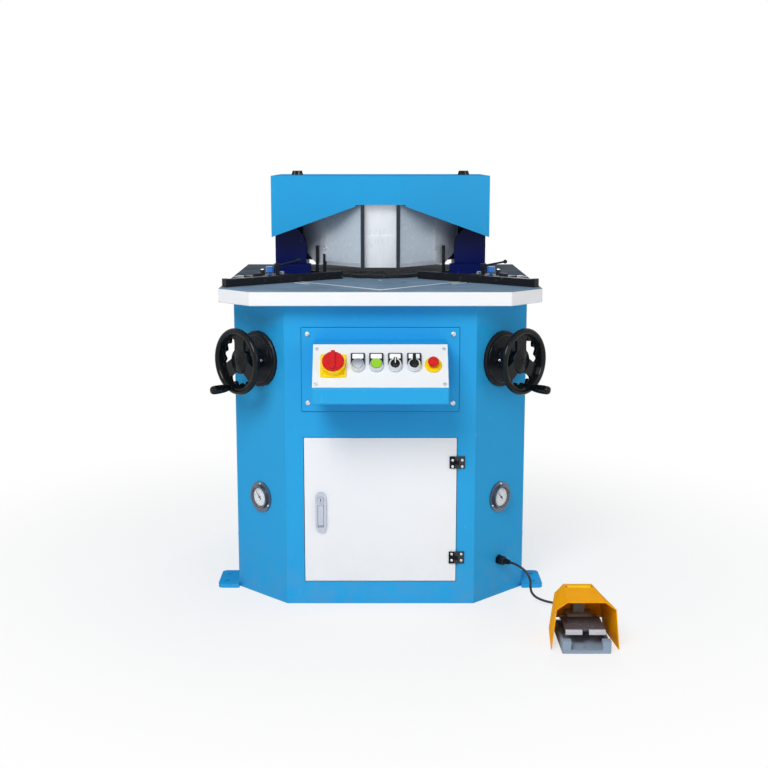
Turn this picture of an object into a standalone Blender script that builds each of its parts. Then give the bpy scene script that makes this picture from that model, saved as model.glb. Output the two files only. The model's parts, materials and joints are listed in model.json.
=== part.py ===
"""Floor-standing hydraulic corner notcher with its foot switch.

Metres, +Z up, +X to the operator's right, +Y to the back.
The origin is on the floor under the middle of the cabinet.
"""
import math

import bmesh
import bpy
from mathutils import Matrix, Vector

# Clearances and mesh finish
SEAT_GAP = 0.0003
RUN_GAP = 0.0008
OVERRUN = 0.02
SMOOTH_ANGLE = math.radians(35)

# Work table
TABLE_TOP = 0.905
TABLE_THICK = 0.040
TABLE_WIDTH = 0.905
TABLE_FRONT_Y = -0.450
TABLE_REAR_Y = 0.455
TABLE_CORNER = 0.095
TABLE_EDGE_ROUND = 0.002

# Scale strips and T-slots let into the table, both at 45 degrees
STRIP_MEET_Y = -0.405
STRIP_WIDTH = 0.013
STRIP_THICK = 0.002
SLOT_NECK = 0.012
SLOT_NECK_DEPTH = 0.009
SLOT_FOOT = 0.020
SLOT_FOOT_DEPTH = 0.018
SLOT_START = 0.260
SLOT_END = 0.680

# Cabinet
CABINET_WIDTH = 0.845
CABINET_DEPTH = 0.800
CABINET_CHAMFER = 0.155
SHEET = 0.003
FLOOR_PAN = 0.006
TOP_FLANGE = 0.040
WIRING_HOLE_WIDTH = 0.140
WIRING_HOLE_HEIGHT = 0.070

# Anchor feet at the cabinet's sides
FOOT_LENGTH = 0.130
FOOT_REACH = 0.061
FOOT_THICK = 0.012
FOOT_ROUND = 0.014
FOOT_HOLE_SPACING = 0.067
FOOT_HOLE_RADIUS = 0.007
FOOT_HOLE_INSET = 0.025
FOOT_FRONT_INSET = 0.134
FOOT_REAR_INSET = 0.006

# Door in the cabinet's front
DOOR_WIDTH = 0.434
DOOR_HEIGHT = 0.423
DOOR_BOTTOM = 0.066
DOOR_GAP = 0.002
DOOR_SKIN = 0.002
DOOR_RETURN = 0.016

# Door hinges, on the right
HINGE_LEAF_WIDTH = 0.022
HINGE_HEIGHT = 0.035
HINGE_THICK = 0.0035
HINGE_INSET = 0.072
KNUCKLE_RADIUS = 0.0045
HINGE_PIN_RADIUS = 0.002
HINGE_KNUCKLE_SHARES = (0.0, 0.33, 0.67, 1.0)

# Door latch, a long case with round ends, a lever and a push button
LATCH_X = -0.169
LATCH_Z = 0.274
LATCH_LENGTH = 0.115
LATCH_WIDTH = 0.031
LATCH_THICK = 0.010
LEVER_LENGTH = 0.060
LEVER_WIDTH = 0.017
LEVER_THICK = 0.006
LEVER_DROP = 0.004
LATCH_BUTTON_RADIUS = 0.0085
LATCH_BUTTON_PROUD = 0.0035
LATCH_BUTTON_RISE = 0.036

# Control plate and control box
PLATE_WIDTH = 0.439
PLATE_HEIGHT = 0.236
PLATE_BOTTOM = 0.564
PLATE_THICK = 0.003
BOX_WIDTH = 0.366
BOX_TOP = 0.767
BOX_TOP_PROUD = 0.095
BOX_EDGE_Z = 0.661
BOX_EDGE_PROUD = 0.181
BOX_BOTTOM = 0.617
BOX_EDGE_ROUND = 0.003
BOX_SHEET = 0.0025
BOX_FLANGE = 0.012
FACE_MARGIN = 0.002
FACE_THICK = 0.002

# Devices on the faceplate: across it from its middle as shares of its width, and up it
MAIN_SWITCH_SHARE = -0.344
MAIN_SWITCH_V = -0.0015
MAIN_PLATE = 0.070
MAIN_PLATE_THICK = 0.004
MAIN_COLLAR_RADIUS = 0.032
MAIN_COLLAR_PROUD = 0.019
MAIN_KNOB_RADIUS = 0.0295
MAIN_KNOB_PROUD = 0.020
MAIN_GRIP_WIDTH = 0.011
MAIN_GRIP_PROUD = 0.010
KNOB_TAPER_SHARE = 0.86
DEVICE_V = -0.001
CLEAR_BUTTON_SHARE = -0.165
GREEN_BUTTON_SHARE = -0.030
INNER_SELECTOR_SHARE = 0.108
OUTER_SELECTOR_SHARE = 0.247
BEZEL_WIDTH = 0.038
BEZEL_TOP = 0.037
BEZEL_THICK = 0.006
BUTTON_RADIUS = 0.0145
BUTTON_PROUD = 0.012
SELECTOR_RADIUS = 0.0123
SELECTOR_RISE = 0.010
SELECTOR_GRIP_WIDTH = 0.009
SELECTOR_GRIP_LENGTH = 0.024
SELECTOR_GRIP_PROUD = 0.014
SELECTOR_STEM_LENGTH = 0.034
ESTOP_SHARE = 0.386
ESTOP_V = 0.001
ESTOP_COLLAR_RADIUS = 0.0228
ESTOP_COLLAR_THICK = 0.008
ESTOP_HEAD_RADIUS = 0.0148
ESTOP_HEAD_PROUD = 0.030
ESTOP_TRAVEL_ROOM = 0.007
ESTOP_STEM_RADIUS = 0.009

# Handwheels on the chamfered corners
WHEEL_Z = 0.701
WHEEL_FLANGE_RADIUS = 0.080
WHEEL_FLANGE_THICK = 0.010
WHEEL_BOSS_RADIUS = 0.030
WHEEL_BOSS_PROUD = 0.046
SPINDLE_RADIUS = 0.012
SPINDLE_INSIDE = 0.060
WHEEL_HUB_RADIUS = 0.024
WHEEL_HUB_LENGTH = 0.0335
WHEEL_OFFSET = 0.080
WHEEL_RIM_RADIUS = 0.095
WHEEL_RIM_THICK = 0.0095
WHEEL_DISH = 0.012
WHEEL_SCALLOPS = 20
WHEEL_SCALLOP_DEPTH = 0.0035
SPOKES = 3
SPOKE_WIDTH = 0.046
SPOKE_THICK = 0.010
WINDOW_RADIUS = 0.069
WINDOW_ROOT = 0.036
GRIP_RADIUS = 0.0125
GRIP_NECK = 0.0075
GRIP_LENGTH = 0.064
GRIP_ORBIT = 0.078
GRIP_PIN_RADIUS = 0.004
GRIP_ANGLE = math.radians(15)
GRIP_SHARES = ((0.55, 1.0), (0.92, 0.94), (1.0, 0.78), (0.94, 0.5), (0.72, 0.16), (0.62, 0.06), (0.62, 0.0))
GRIP_BOSS_RISE = 0.0012

# Pressure gauges on the chamfered corners
GAUGE_Z = 0.296
GAUGE_FLANGE_RADIUS = 0.045
GAUGE_FLANGE_THICK = 0.004
GAUGE_RIM_RADIUS = 0.034
GAUGE_RIM_PROUD = 0.013
GAUGE_DIAL_RADIUS = 0.030
GAUGE_DIAL_THICK = 0.001
GAUGE_DIAL_LEVEL = 0.005
GAUGE_CASE_RADIUS = 0.031
GAUGE_CASE_DEPTH = 0.030
GAUGE_LENS_THICK = 0.002
GAUGE_LENS_LEVEL = 0.010
NEEDLE_LENGTH = 0.023
NEEDLE_TAIL = 0.009
NEEDLE_WIDTH = 0.003
NEEDLE_THICK = 0.001
NEEDLE_HUB_RADIUS = 0.0035
NEEDLE_ANGLE = math.radians(135)

# Press frame on the table: two side columns, a crosshead and foot blocks
COLUMN_OUTSIDE = 0.329
COLUMN_THICK = 0.040
COLUMN_FRONT_Y = 0.107
COLUMN_REAR_Y = 0.425
CROSSHEAD_BOTTOM = 1.100
CROSSHEAD_THICK = 0.034
CROSSHEAD_FRONT_Y = 0.195
CROSSHEAD_REAR_Y = 0.325
GUSSET_INSIDE = 0.232
GUSSET_FRONT_Y = 0.105
GUSSET_THICK = 0.035
GUSSET_SHOULDER = 0.985
GUSSET_ROUND = 0.075
GUSSET_SWEEP = math.radians(77)
FOOT_BLOCK_INSIDE = 0.215
FOOT_BLOCK_HEIGHT = 0.034
FOOT_BLOCK_FRONT_Y = 0.030
FOOT_BLOCK_DEPTH = 0.045
CAP_INSIDE = 0.245
CAP_THICK = 0.014

# Ram: a V with a flat nose and arms at 45 degrees
NOSE_HALF = 0.052
NOSE_Y = -0.025
ARM_END_X = 0.246
RAM_REAR_Y = 0.330
RAM_BOTTOM = 0.934
RAM_BLOCK_RISE = 0.010
RAM_BLOCK_TOP = 1.062
RAM_PLATE_TOP = 1.145
RAM_PLATE_THICK = 0.012
RAM_PLATE_CLIP = 0.045
NOSE_JOINT_Z = 1.030
NOSE_STEP = 0.003
GUIDE_FRONT_Y = 0.192
GUIDE_REAR_Y = 0.320

# Hydraulic cylinder on the crosshead
CYLINDER_Y = 0.255
CYLINDER_RADIUS = 0.056
CYLINDER_WALL = 0.010
CYLINDER_HEIGHT = 0.066
ROD_RADIUS = 0.025
PISTON_THICK = 0.010
ROD_HEAD_ROOM = 0.003

# Die: blades and black plate round the V opening of the table
BLADE_WIDTH = 0.022
BLADE_TOP = 0.913
BLADE_DEPTH = 0.026
DIE_WIDTH = 0.014
DIE_TOP = 0.910
DIE_DEPTH = 0.016
DIE_LOBE_HALF = 0.0285
DIE_LOBE_REACH = 0.012
LEDGE_RELIEF = 0.002
OPENING_RELIEF = 0.004
PEG_RADIUS = 0.005
PEG_TALL = 0.080
PEG_SHORT = 0.055
PEG_SPACING = 0.034
PEG_SET_BACK = 0.048

# Hood over the press
HOOD_TOP = 1.209
HOOD_SHEET = 0.0025
HOOD_NOSE_HALF = 0.0615
HOOD_NOSE_Y = -0.055
HOOD_NOSE_BOTTOM = 1.124
HOOD_HALF = 0.3335
HOOD_CORNER_Y = 0.020
HOOD_SKIRT_BOTTOM = 1.024
HOOD_REAR_Y = 0.435
HOOD_KNOB_X = 0.267
HOOD_KNOB_Y = 0.250
HOOD_KNOB_RADIUS = 0.019
HOOD_KNOB_TOP_RADIUS = 0.015
HOOD_KNOB_HEIGHT = 0.013
HOOD_KNOB_LOBES = 12
HOOD_STUD_RADIUS = 0.005
HOOD_STUD_LENGTH = 0.012

# Clear guard between the nose and the columns
POST_SIZE = 0.011
POST_BOTTOM = 0.928
POST_TOP = 1.195
GUARD_THICK = 0.004
GUARD_BOTTOM = 0.947
GUARD_TOP = 1.150
GUARD_RUN = 0.156

# Fences on the table: black bars with a carriage, a clamp lever and a knob
FENCE_OUTER_X = 0.433
FENCE_OUTER_Y = -0.339
FENCE_ANGLE = math.radians(39.5)
FENCE_LENGTH = 0.415
FENCE_HEIGHT = 0.022
FENCE_THICK = 0.018
FENCE_END_BLOCK = 0.012
FENCE_END_RISE = 0.0015
FENCE_FACE_STEP = 0.0015
CARRIAGE_ALONG = 0.120
CARRIAGE_LENGTH = 0.140
CARRIAGE_DEPTH = 0.072
CARRIAGE_HEIGHT = 0.020
TONGUE_LENGTH = 0.030
CLAMP_ALONG = 0.224
CLAMP_BACK = 0.068
CLAMP_PIN_RADIUS = 0.006
CLAMP_PIN_HEIGHT = 0.018
CLAMP_HUB_RADIUS = 0.009
CLAMP_HUB_HEIGHT = 0.012
CLAMP_ARM_LENGTH = 0.066
CLAMP_ARM_RISE = 0.014
CLAMP_ARM_RADIUS = 0.0032
CLAMP_BALL_RADIUS = 0.006
CLAMP_HEADING = math.radians(20)
KNOB_ALONG = 0.198
KNOB_BACK = 0.071
KNOB_RADIUS = 0.011
KNOB_HEIGHT = 0.016
KNOB_NECK_RADIUS = 0.005
KNOB_NECK_HEIGHT = 0.007
KNOB_LOBES = 8

# Cable gland on the right chamfer
GLAND_Z = 0.107
GLAND_HEX_RADIUS = 0.015
GLAND_HEX_THICK = 0.008
GLAND_BODY_RADIUS = 0.011
GLAND_TIP_RADIUS = 0.006
GLAND_LENGTH = 0.034
CORD_RADIUS = 0.0035
CORD_SPACING = 0.010
CORD_ROUTE = (
    (0.3754, -0.3529, 0.107), (0.390, -0.3675, 0.1065), (0.409, -0.385, 0.099), (0.423, -0.397, 0.086),
    (0.4305, -0.402, 0.068), (0.431, -0.402, 0.050), (0.435, -0.401, 0.033), (0.448, -0.402, 0.019),
    (0.470, -0.404, 0.0095), (0.494, -0.409, 0.005), (0.516, -0.424, 0.0042), (0.532, -0.452, 0.0042),
    (0.540, -0.490, 0.0042), (0.540, -0.530, 0.005), (0.536, -0.562, 0.010), (0.534, -0.582, 0.0135),
    (0.534, -0.5937, 0.014),
)

# Foot switch, in front of the cabinet on the right
SWITCH_X = 0.534
SWITCH_FRONT_Y = -0.780
SWITCH_LENGTH = 0.186
SWITCH_WIDTH = 0.126
SWITCH_FLOOR = 0.009
SWITCH_WALL = 0.008
SWITCH_WALL_HEIGHT = 0.024
SWITCH_BLOCK = 0.022
SWITCH_BLOCK_RISE = 0.009
SWITCH_HOLE_RADIUS = 0.006
SWITCH_HOUSING_LENGTH = 0.052
SWITCH_HOUSING_HEIGHT = 0.058
SWITCH_HOUSING_WIDTH = 0.070
TREADLE_WIDTH = 0.104
TREADLE_LENGTH = 0.118
TREADLE_THICK = 0.006
TREADLE_FRONT_Z = 0.050
TREADLE_LIP = 0.012
TREADLE_NOTCH = 0.018
TREADLE_RIBS = 7
PIVOT_RADIUS = 0.005
PIVOT_Z = 0.046
SHIELD_SHEET = 0.0025
SHIELD_FRONT_Y = -0.752
SHIELD_REAR_Y = -0.596
SHIELD_FRONT_POINTS = ((0.050, 0.130), (0.079, 0.109), (0.0895, 0.0))
SHIELD_REAR_POINTS = ((0.0385, 0.126), (0.062, 0.100), (0.075, 0.0))
SHIELD_FOOT_GAP = 0.0005
SHIELD_BACK_BOTTOM = 0.032
SHIELD_BRACKET = 0.030

# Hydraulic power unit and electrical plate inside the cabinet
TANK_SIZE = (0.520, 0.300, 0.270)
TANK_Y = 0.205
TANK_ROUND = 0.012
TANK_LID = 0.008
TANK_LID_OVERHANG = 0.010
FILLER_RADIUS = 0.022
FILLER_HEIGHT = 0.030
MOTOR_RADIUS = 0.070
MOTOR_HEIGHT = 0.200
MOTOR_RIBS = 7
MOTOR_RIB_DEPTH = 0.005
MOTOR_X = -0.130
MOTOR_FLANGE_RADIUS = 0.085
MOTOR_FLANGE_THICK = 0.012
MOTOR_COWL_HEIGHT = 0.040
VALVE_SIZE = (0.110, 0.080, 0.070)
VALVE_X = 0.100
SOLENOID_RADIUS = 0.020
SOLENOID_LENGTH = 0.052
PANEL_WIDTH = 0.400
PANEL_HEIGHT = 0.430
PANEL_THICK = 0.003
PANEL_Y = -0.170
PANEL_FOOT = 0.040
RAIL_HEIGHT = 0.035
RAIL_PROUD = 0.008
RAIL_LEVEL_SHARES = (0.30, 0.56, 0.82)
DEVICE_DEPTH = 0.062
DEVICE_WIDTH = 0.044
DEVICE_HEIGHT = 0.075
DEVICE_COUNTS = (7, 3, 4)

# Facet counts
WHEEL_FACETS = 48
MEDIUM = 24
ROUND = 16
SMALL = 12
TINY = 8
RIM_STEPS = 12
SCALLOP_STEPS = 6
CORNER_STEPS = 3

# Distance under which loose points of one body are one
WELD = 0.00001

# Colour, roughness and metallic value of each finish
FINISHES = {
    "blue_paint": ((0.04, 0.35, 0.72), 0.35, 0.0),
    "navy_paint": ((0.010, 0.014, 0.050), 0.35, 0.1),
    "white_paint": ((0.85, 0.87, 0.89), 0.40, 0.0),
    "table_steel": ((0.16, 0.21, 0.27), 0.30, 0.8),
    "bright_steel": ((0.72, 0.73, 0.75), 0.22, 1.0),
    "grey_steel": ((0.42, 0.48, 0.54), 0.30, 0.9),
    "black_steel": ((0.015, 0.018, 0.022), 0.40, 0.5),
    "black_plastic": ((0.012, 0.013, 0.015), 0.35, 0.0),
    "chrome": ((0.80, 0.80, 0.82), 0.10, 1.0),
    "galvanised": ((0.55, 0.57, 0.60), 0.45, 0.8),
    "clear_plastic": ((0.90, 0.95, 0.97), 0.05, 0.0),
    "red_plastic": ((0.55, 0.008, 0.012), 0.30, 0.0),
    "yellow_plastic": ((0.90, 0.60, 0.02), 0.40, 0.0),
    "green_plastic": ((0.28, 0.50, 0.12), 0.30, 0.0),
    "grey_plastic": ((0.55, 0.58, 0.60), 0.35, 0.0),
    "blue_plastic": ((0.02, 0.15, 0.50), 0.35, 0.0),
    "orange_paint": ((0.80, 0.38, 0.008), 0.40, 0.0),
    "switch_grey": ((0.11, 0.15, 0.20), 0.45, 0.3),
    "treadle_brown": ((0.045, 0.030, 0.030), 0.50, 0.1),
    "tank_grey": ((0.30, 0.32, 0.34), 0.45, 0.1),
    "cord_rubber": ((0.012, 0.012, 0.014), 0.55, 0.0),
}


def clear_scene():
    """Empties the scene, so that the part stands alone in it."""
    for item in list(bpy.data.objects):
        bpy.data.objects.remove(item, do_unlink=True)


def group(name):
    """The collection of this name, made when it is first asked for."""
    found = bpy.data.collections.get(name)
    if found is None:
        found = bpy.data.collections.new(name)
        bpy.context.scene.collection.children.link(found)
    return found


def painted(name, finish):
    """A part's own material, with the values of its finish."""
    colour, roughness, metallic = FINISHES[finish]
    material = bpy.data.materials.new(name + "_finish")
    material.use_nodes = True
    shader = material.node_tree.nodes["Principled BSDF"]
    shader.inputs["Base Color"].default_value = (*colour, 1.0)
    shader.inputs["Roughness"].default_value = roughness
    shader.inputs["Metallic"].default_value = metallic
    material.diffuse_color = (*colour, 1.0)
    return material


def helper(data):
    """An object among the cutters, which is no part of the notcher."""
    tool = bpy.data.objects.new("tool", data)
    tool.hide_render = True
    tool.display_type = "WIRE"
    group("cutters").objects.link(tool)
    return tool


def harvested(tool):
    """The evaluated body of a helper, with its seams welded; the helper goes."""
    depsgraph = bpy.context.evaluated_depsgraph_get()
    mesh = bpy.data.meshes.new_from_object(tool.evaluated_get(depsgraph))
    body = bmesh.new()
    body.from_mesh(mesh)
    bmesh.ops.remove_doubles(body, verts=body.verts, dist=WELD)
    bmesh.ops.recalc_face_normals(body, faces=body.faces)
    bpy.data.meshes.remove(mesh)
    bpy.data.objects.remove(tool, do_unlink=True)
    return body


def as_mesh(body):
    """A mesh with a body's faces."""
    mesh = bpy.data.meshes.new("body")
    body.to_mesh(mesh)
    body.free()
    return mesh


def gathered(bodies):
    """Several bodies in one, each still a closed body of its own."""
    whole = bmesh.new()
    for body in bodies:
        mesh = as_mesh(body)
        whole.from_mesh(mesh)
        bpy.data.meshes.remove(mesh)
    return whole


def moved(body, matrix):
    """The same body, carried by a matrix."""
    bmesh.ops.transform(body, matrix=matrix, verts=body.verts)
    return body


def shift(x=0, y=0, z=0):
    """A matrix that moves."""
    return Matrix.Translation((x, y, z))


def box(size, centre):
    """A block of this size about its centre."""
    body = bmesh.new()
    bmesh.ops.create_cube(body, size=1.0, matrix=shift(*centre) @ Matrix.Diagonal((*size, 1.0)))
    return body


def block(x_span, y_span, z_span):
    """A block between two values on each axis."""
    spans = (x_span, y_span, z_span)
    size = [high - low for low, high in spans]
    centre = [(high + low) / 2 for low, high in spans]
    return box(size, centre)


def disc(radius, z_span, x=0, y=0, top_radius=None, sides=MEDIUM):
    """An upright round body between two heights."""
    low, high = z_span
    body = bmesh.new()
    bmesh.ops.create_cone(
        body, cap_ends=True, segments=sides, radius1=radius,
        radius2=radius if top_radius is None else top_radius,
        depth=high - low, matrix=shift(x, y, (low + high) / 2))
    return body


def plate(outline, z_span, holes=()):
    """A flat outline in X and Y, made thick between two heights."""
    low, high = z_span
    curve = bpy.data.curves.new("outline", "CURVE")
    curve.dimensions = "2D"
    curve.fill_mode = "BOTH"
    curve.extrude = (high - low) / 2
    for points in (outline, *holes):
        spline = curve.splines.new("POLY")
        spline.points.add(len(points) - 1)
        for point, (x, y) in zip(spline.points, points):
            point.co = (x, y, 0, 1)
        spline.use_cyclic_u = True
    return moved(harvested(helper(curve)), shift(z=(low + high) / 2))


def side_plate(profile, x_span):
    """An outline in Y and Z, made thick between two values of X."""
    turn = Matrix(((0, 0, 1, 0), (1, 0, 0, 0), (0, 1, 0, 0), (0, 0, 0, 1)))
    return moved(plate(profile, x_span), turn)


def turned(profile, steps=MEDIUM, ring=False):
    """A profile of radius and height, outer side first, turned about Z."""
    mesh = bpy.data.meshes.new("profile")
    edges = [(i, i + 1) for i in range(len(profile) - 1)]
    if ring:
        edges.append((len(profile) - 1, 0))
    mesh.from_pydata([(radius, 0, height) for radius, height in profile], edges, [])
    tool = helper(mesh)
    screw = tool.modifiers.new("Turn", "SCREW")
    screw.steps = steps
    screw.render_steps = steps
    screw.use_merge_vertices = True
    screw.merge_threshold = WELD
    return harvested(tool)


def tube(points, radius, resolution=2):
    """A round tube along points, with flat ends."""
    curve = bpy.data.curves.new("route", "CURVE")
    curve.dimensions = "3D"
    curve.bevel_depth = radius
    curve.bevel_resolution = resolution
    curve.use_fill_caps = True
    spline = curve.splines.new("POLY")
    spline.points.add(len(points) - 1)
    for point, place in zip(spline.points, points):
        point.co = (*place, 1)
    return harvested(helper(curve))


def rounded(body, radius, segments=1, upright=False):
    """The body with its sharp edges, or only its upright ones, rounded."""
    def sharp(edge):
        along = edge.verts[1].co - edge.verts[0].co
        if upright and abs(along.z) < along.length / 2:
            return False
        return len(edge.link_faces) == 2 and edge.calc_face_angle() > SMOOTH_ANGLE
    edges = [edge for edge in body.edges if sharp(edge)]
    bmesh.ops.bevel(body, geom=edges, offset=radius, segments=segments,
                    profile=0.5, affect="EDGES")
    return body


def frame(name, place, turn=(0, 0, 0), parent=None):
    """An empty that carries pieces, for instance on a joint's axis."""
    empty = bpy.data.objects.new(name, None)
    empty.location = place
    empty.rotation_euler = turn
    empty.parent = parent
    group("corner_notcher").objects.link(empty)
    bpy.context.view_layer.update()
    return empty


def piece(name, finish, *bodies, on=None):
    """One named sub-part, made of closed bodies, in the frame that carries it."""
    mesh = as_mesh(gathered(bodies))
    mesh.name = name
    mesh.shade_smooth()
    mesh.set_sharp_from_angle(angle=SMOOTH_ANGLE)
    mesh.materials.append(painted(name, finish))
    part = bpy.data.objects.new(name, mesh)
    part.parent = on
    group("corner_notcher").objects.link(part)
    return part


def combine(part, operation, bodies):
    """Adds one Boolean modifier for each body, which stays as a wire cutter."""
    for number, body in enumerate(bodies):
        tool = helper(as_mesh(body))
        tool.name = "{}_{}_{}".format(part.name, operation.lower(), number)
        tool.parent = part
        modifier = part.modifiers.new(operation.title(), "BOOLEAN")
        modifier.operation = operation
        modifier.solver = "EXACT"
        modifier.object = tool
    return part


def cut(part, *bodies):
    """Takes bodies away from a part, one after the other."""
    return combine(part, "DIFFERENCE", bodies)


def fuse(part, *bodies):
    """Adds bodies to a part, one after the other."""
    return combine(part, "UNION", bodies)


def sided(side, low, high):
    """Two values of X, low first, on the side that is given."""
    return tuple(sorted((side * low, side * high)))


def mirrored(points):
    """An outline's right half, front to back, with its left half added."""
    return list(points) + [(-x, y) for x, y in reversed(points)]


def chamfered(width, front_y, rear_y, corner, inset=0):
    """A rectangle whose front corners are cut at 45 degrees, drawn in by inset."""
    half = width / 2 - inset
    cut_back = corner - inset * (2 - math.sqrt(2))
    return mirrored([(half - cut_back, front_y + inset),
                     (half, front_y + inset + cut_back),
                     (half, rear_y - inset)])


def arc(centre, radius, start, end, steps):
    """Points on an arc, both ends included."""
    x, y = centre
    turns = [start + (end - start) * step / steps for step in range(steps + 1)]
    return [(x + radius * math.cos(turn), y + radius * math.sin(turn)) for turn in turns]


def stadium(length, width, steps=6):
    """An upright outline with round ends."""
    radius = width / 2
    reach = length / 2 - radius
    top = arc((0, reach), radius, 0, math.pi, steps)
    return top + arc((0, -reach), radius, math.pi, math.tau, steps)


# Values that several sub-parts share
CABINET_FRONT_Y = -CABINET_DEPTH / 2
CABINET_REAR_Y = CABINET_DEPTH / 2
TABLE_BOTTOM = TABLE_TOP - TABLE_THICK
CABINET_TOP = TABLE_BOTTOM - SEAT_GAP
PAN_TOP = FLOOR_PAN + SEAT_GAP
VEE_SHIFT = NOSE_HALF - NOSE_Y
ROOT_TWO = math.sqrt(2)
STAND = TABLE_TOP + SEAT_GAP
FACE_TOP = SEAT_GAP + FACE_THICK
FRAME_TOP = HOOD_TOP - HOOD_SHEET - SEAT_GAP
CYLINDER_BOTTOM = CROSSHEAD_BOTTOM + CROSSHEAD_THICK + SEAT_GAP
ROD_TOP = CYLINDER_BOTTOM + CYLINDER_HEIGHT - CYLINDER_WALL - ROD_HEAD_ROOM


def corner_place(side, height):
    """The middle of a chamfered cabinet corner, at a height."""
    return (side * (CABINET_WIDTH - CABINET_CHAMFER) / 2,
            CABINET_FRONT_Y + CABINET_CHAMFER / 2, height)


def corner_turn(side):
    """A turn that points Z out of a chamfer, with Y up."""
    return (math.pi / 2, 0, side * math.pi / 4)


def corner_matrix(side, height):
    """Carries a body from a chamfer's own axes to the part's."""
    x, y, z = corner_place(side, height)
    return shift(x, y, z) @ turn_matrix(corner_turn(side))


def turn_matrix(turn):
    """A turn about X, then Y, then Z, as a matrix."""
    about_x, about_y, about_z = turn
    return (Matrix.Rotation(about_z, 4, "Z") @ Matrix.Rotation(about_y, 4, "Y")
            @ Matrix.Rotation(about_x, 4, "X"))


def vee(grow, rear_y):
    """The ram's V in plan, with its nose and arms moved out by grow."""
    nose = (NOSE_HALF + grow * (ROOT_TWO - 1), NOSE_Y - grow)
    arm = (ARM_END_X + grow, ARM_END_X - VEE_SHIFT - grow * (ROOT_TWO - 1))
    return mirrored([nose, arm, (arm[0], rear_y)])


def vee_band(inner, outer):
    """Right arm and nose bar between two growths of the V, not quite touching."""
    nose_in, arm_in = vee(inner, 0)[:2]
    nose_out, arm_out = vee(outer, 0)[:2]
    nose = [nose_in, (-nose_in[0], nose_in[1]), (-nose_out[0], nose_out[1]), nose_out]
    start_in = (nose_in[0] + SEAT_GAP, nose_in[1] + SEAT_GAP)
    start_out = (nose_out[0] + SEAT_GAP, nose_out[1] + SEAT_GAP)
    return nose, [start_in, start_out, arm_out, arm_in]


def flipped(outline):
    """An outline mirrored to the left side."""
    return [(-x, y) for x, y in reversed(outline)]


def make_cabinet():
    """Sheet-steel cabinet with a floor pan, a top flange and its openings."""
    outline = chamfered(CABINET_WIDTH, CABINET_FRONT_Y, CABINET_REAR_Y, CABINET_CHAMFER)
    inside = chamfered(CABINET_WIDTH, CABINET_FRONT_Y, CABINET_REAR_Y, CABINET_CHAMFER, SHEET)
    mouth = chamfered(CABINET_WIDTH, CABINET_FRONT_Y, CABINET_REAR_Y, CABINET_CHAMFER, TOP_FLANGE)
    cabinet = piece("cabinet_shell", "blue_paint", plate(outline, (0, CABINET_TOP)))
    through = (CABINET_FRONT_Y - OVERRUN, CABINET_FRONT_Y + SHEET + OVERRUN)
    door_half = DOOR_WIDTH / 2
    wiring = WIRING_HOLE_WIDTH / 2
    cut(cabinet,
        plate(inside, (FLOOR_PAN, CABINET_TOP - SHEET)),
        plate(mouth, (CABINET_TOP - SHEET - OVERRUN, CABINET_TOP + OVERRUN)),
        block((-door_half, door_half), through, (DOOR_BOTTOM, DOOR_BOTTOM + DOOR_HEIGHT)),
        block((-wiring, wiring), through, (BOX_EDGE_Z, BOX_EDGE_Z + WIRING_HOLE_HEIGHT)))
    reach = (-OVERRUN, OVERRUN)
    for side in (-1, 1):
        cut(cabinet,
            moved(disc(SPINDLE_RADIUS + RUN_GAP, reach, sides=SMALL), corner_matrix(side, WHEEL_Z)),
            moved(disc(GAUGE_CASE_RADIUS + RUN_GAP, reach), corner_matrix(side, GAUGE_Z)))
    cut(cabinet, moved(disc(GLAND_BODY_RADIUS + RUN_GAP, reach), corner_matrix(1, GLAND_Z)))
    make_anchor_feet(cabinet)


def make_anchor_feet(cabinet):
    """Four bolt-down feet welded to the cabinet, two on each side."""
    plates = []
    bores = []
    inner = CABINET_WIDTH / 2 - SHEET / 2
    outer = CABINET_WIDTH / 2 + FOOT_REACH
    corner = outer - FOOT_ROUND
    front_y = CABINET_FRONT_Y + FOOT_FRONT_INSET
    rear_y = CABINET_REAR_Y - FOOT_REAR_INSET - FOOT_LENGTH
    for side in (-1, 1):
        for start_y in (front_y, rear_y):
            rim = [(inner, start_y)]
            rim += arc((corner, start_y + FOOT_ROUND), FOOT_ROUND, -math.pi / 2, 0, CORNER_STEPS)
            rim += arc((corner, start_y + FOOT_LENGTH - FOOT_ROUND), FOOT_ROUND, 0, math.pi / 2, CORNER_STEPS)
            rim += [(inner, start_y + FOOT_LENGTH)]
            plates.append(plate([(side * x, y) for x, y in rim], (0, FOOT_THICK)))
            for step in (-1, 1):
                hole_y = start_y + FOOT_LENGTH / 2 + step * FOOT_HOLE_SPACING / 2
                bores.append(disc(FOOT_HOLE_RADIUS, (-OVERRUN, FOOT_THICK + OVERRUN),
                                  side * (outer - FOOT_HOLE_INSET), hole_y, sides=SMALL))
    fuse(cabinet, gathered(plates))
    cut(cabinet, gathered(bores))


def slant_matrix(side):
    """Carries a body from a slanting axis, X along a scale strip, to the part's."""
    return shift(y=STRIP_MEET_Y, z=TABLE_TOP) @ turn_matrix((0, 0, math.pi / 2 - side * math.pi / 4))


def strip_outline(slack):
    """The scale strip in plan: a V from the front middle to both table sides."""
    half = STRIP_WIDTH / 2 + slack
    end = TABLE_WIDTH / 2 - STRIP_WIDTH + slack
    out_x = end + half / ROOT_TWO
    in_x = end - half / ROOT_TWO
    front = (0, STRIP_MEET_Y - half * ROOT_TWO)
    back = (0, STRIP_MEET_Y + half * ROOT_TWO)
    out_y = out_x + front[1]
    in_y = in_x + back[1]
    return [front, (out_x, out_y), (in_x, in_y), back, (-in_x, in_y), (-out_x, out_y)]


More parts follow.
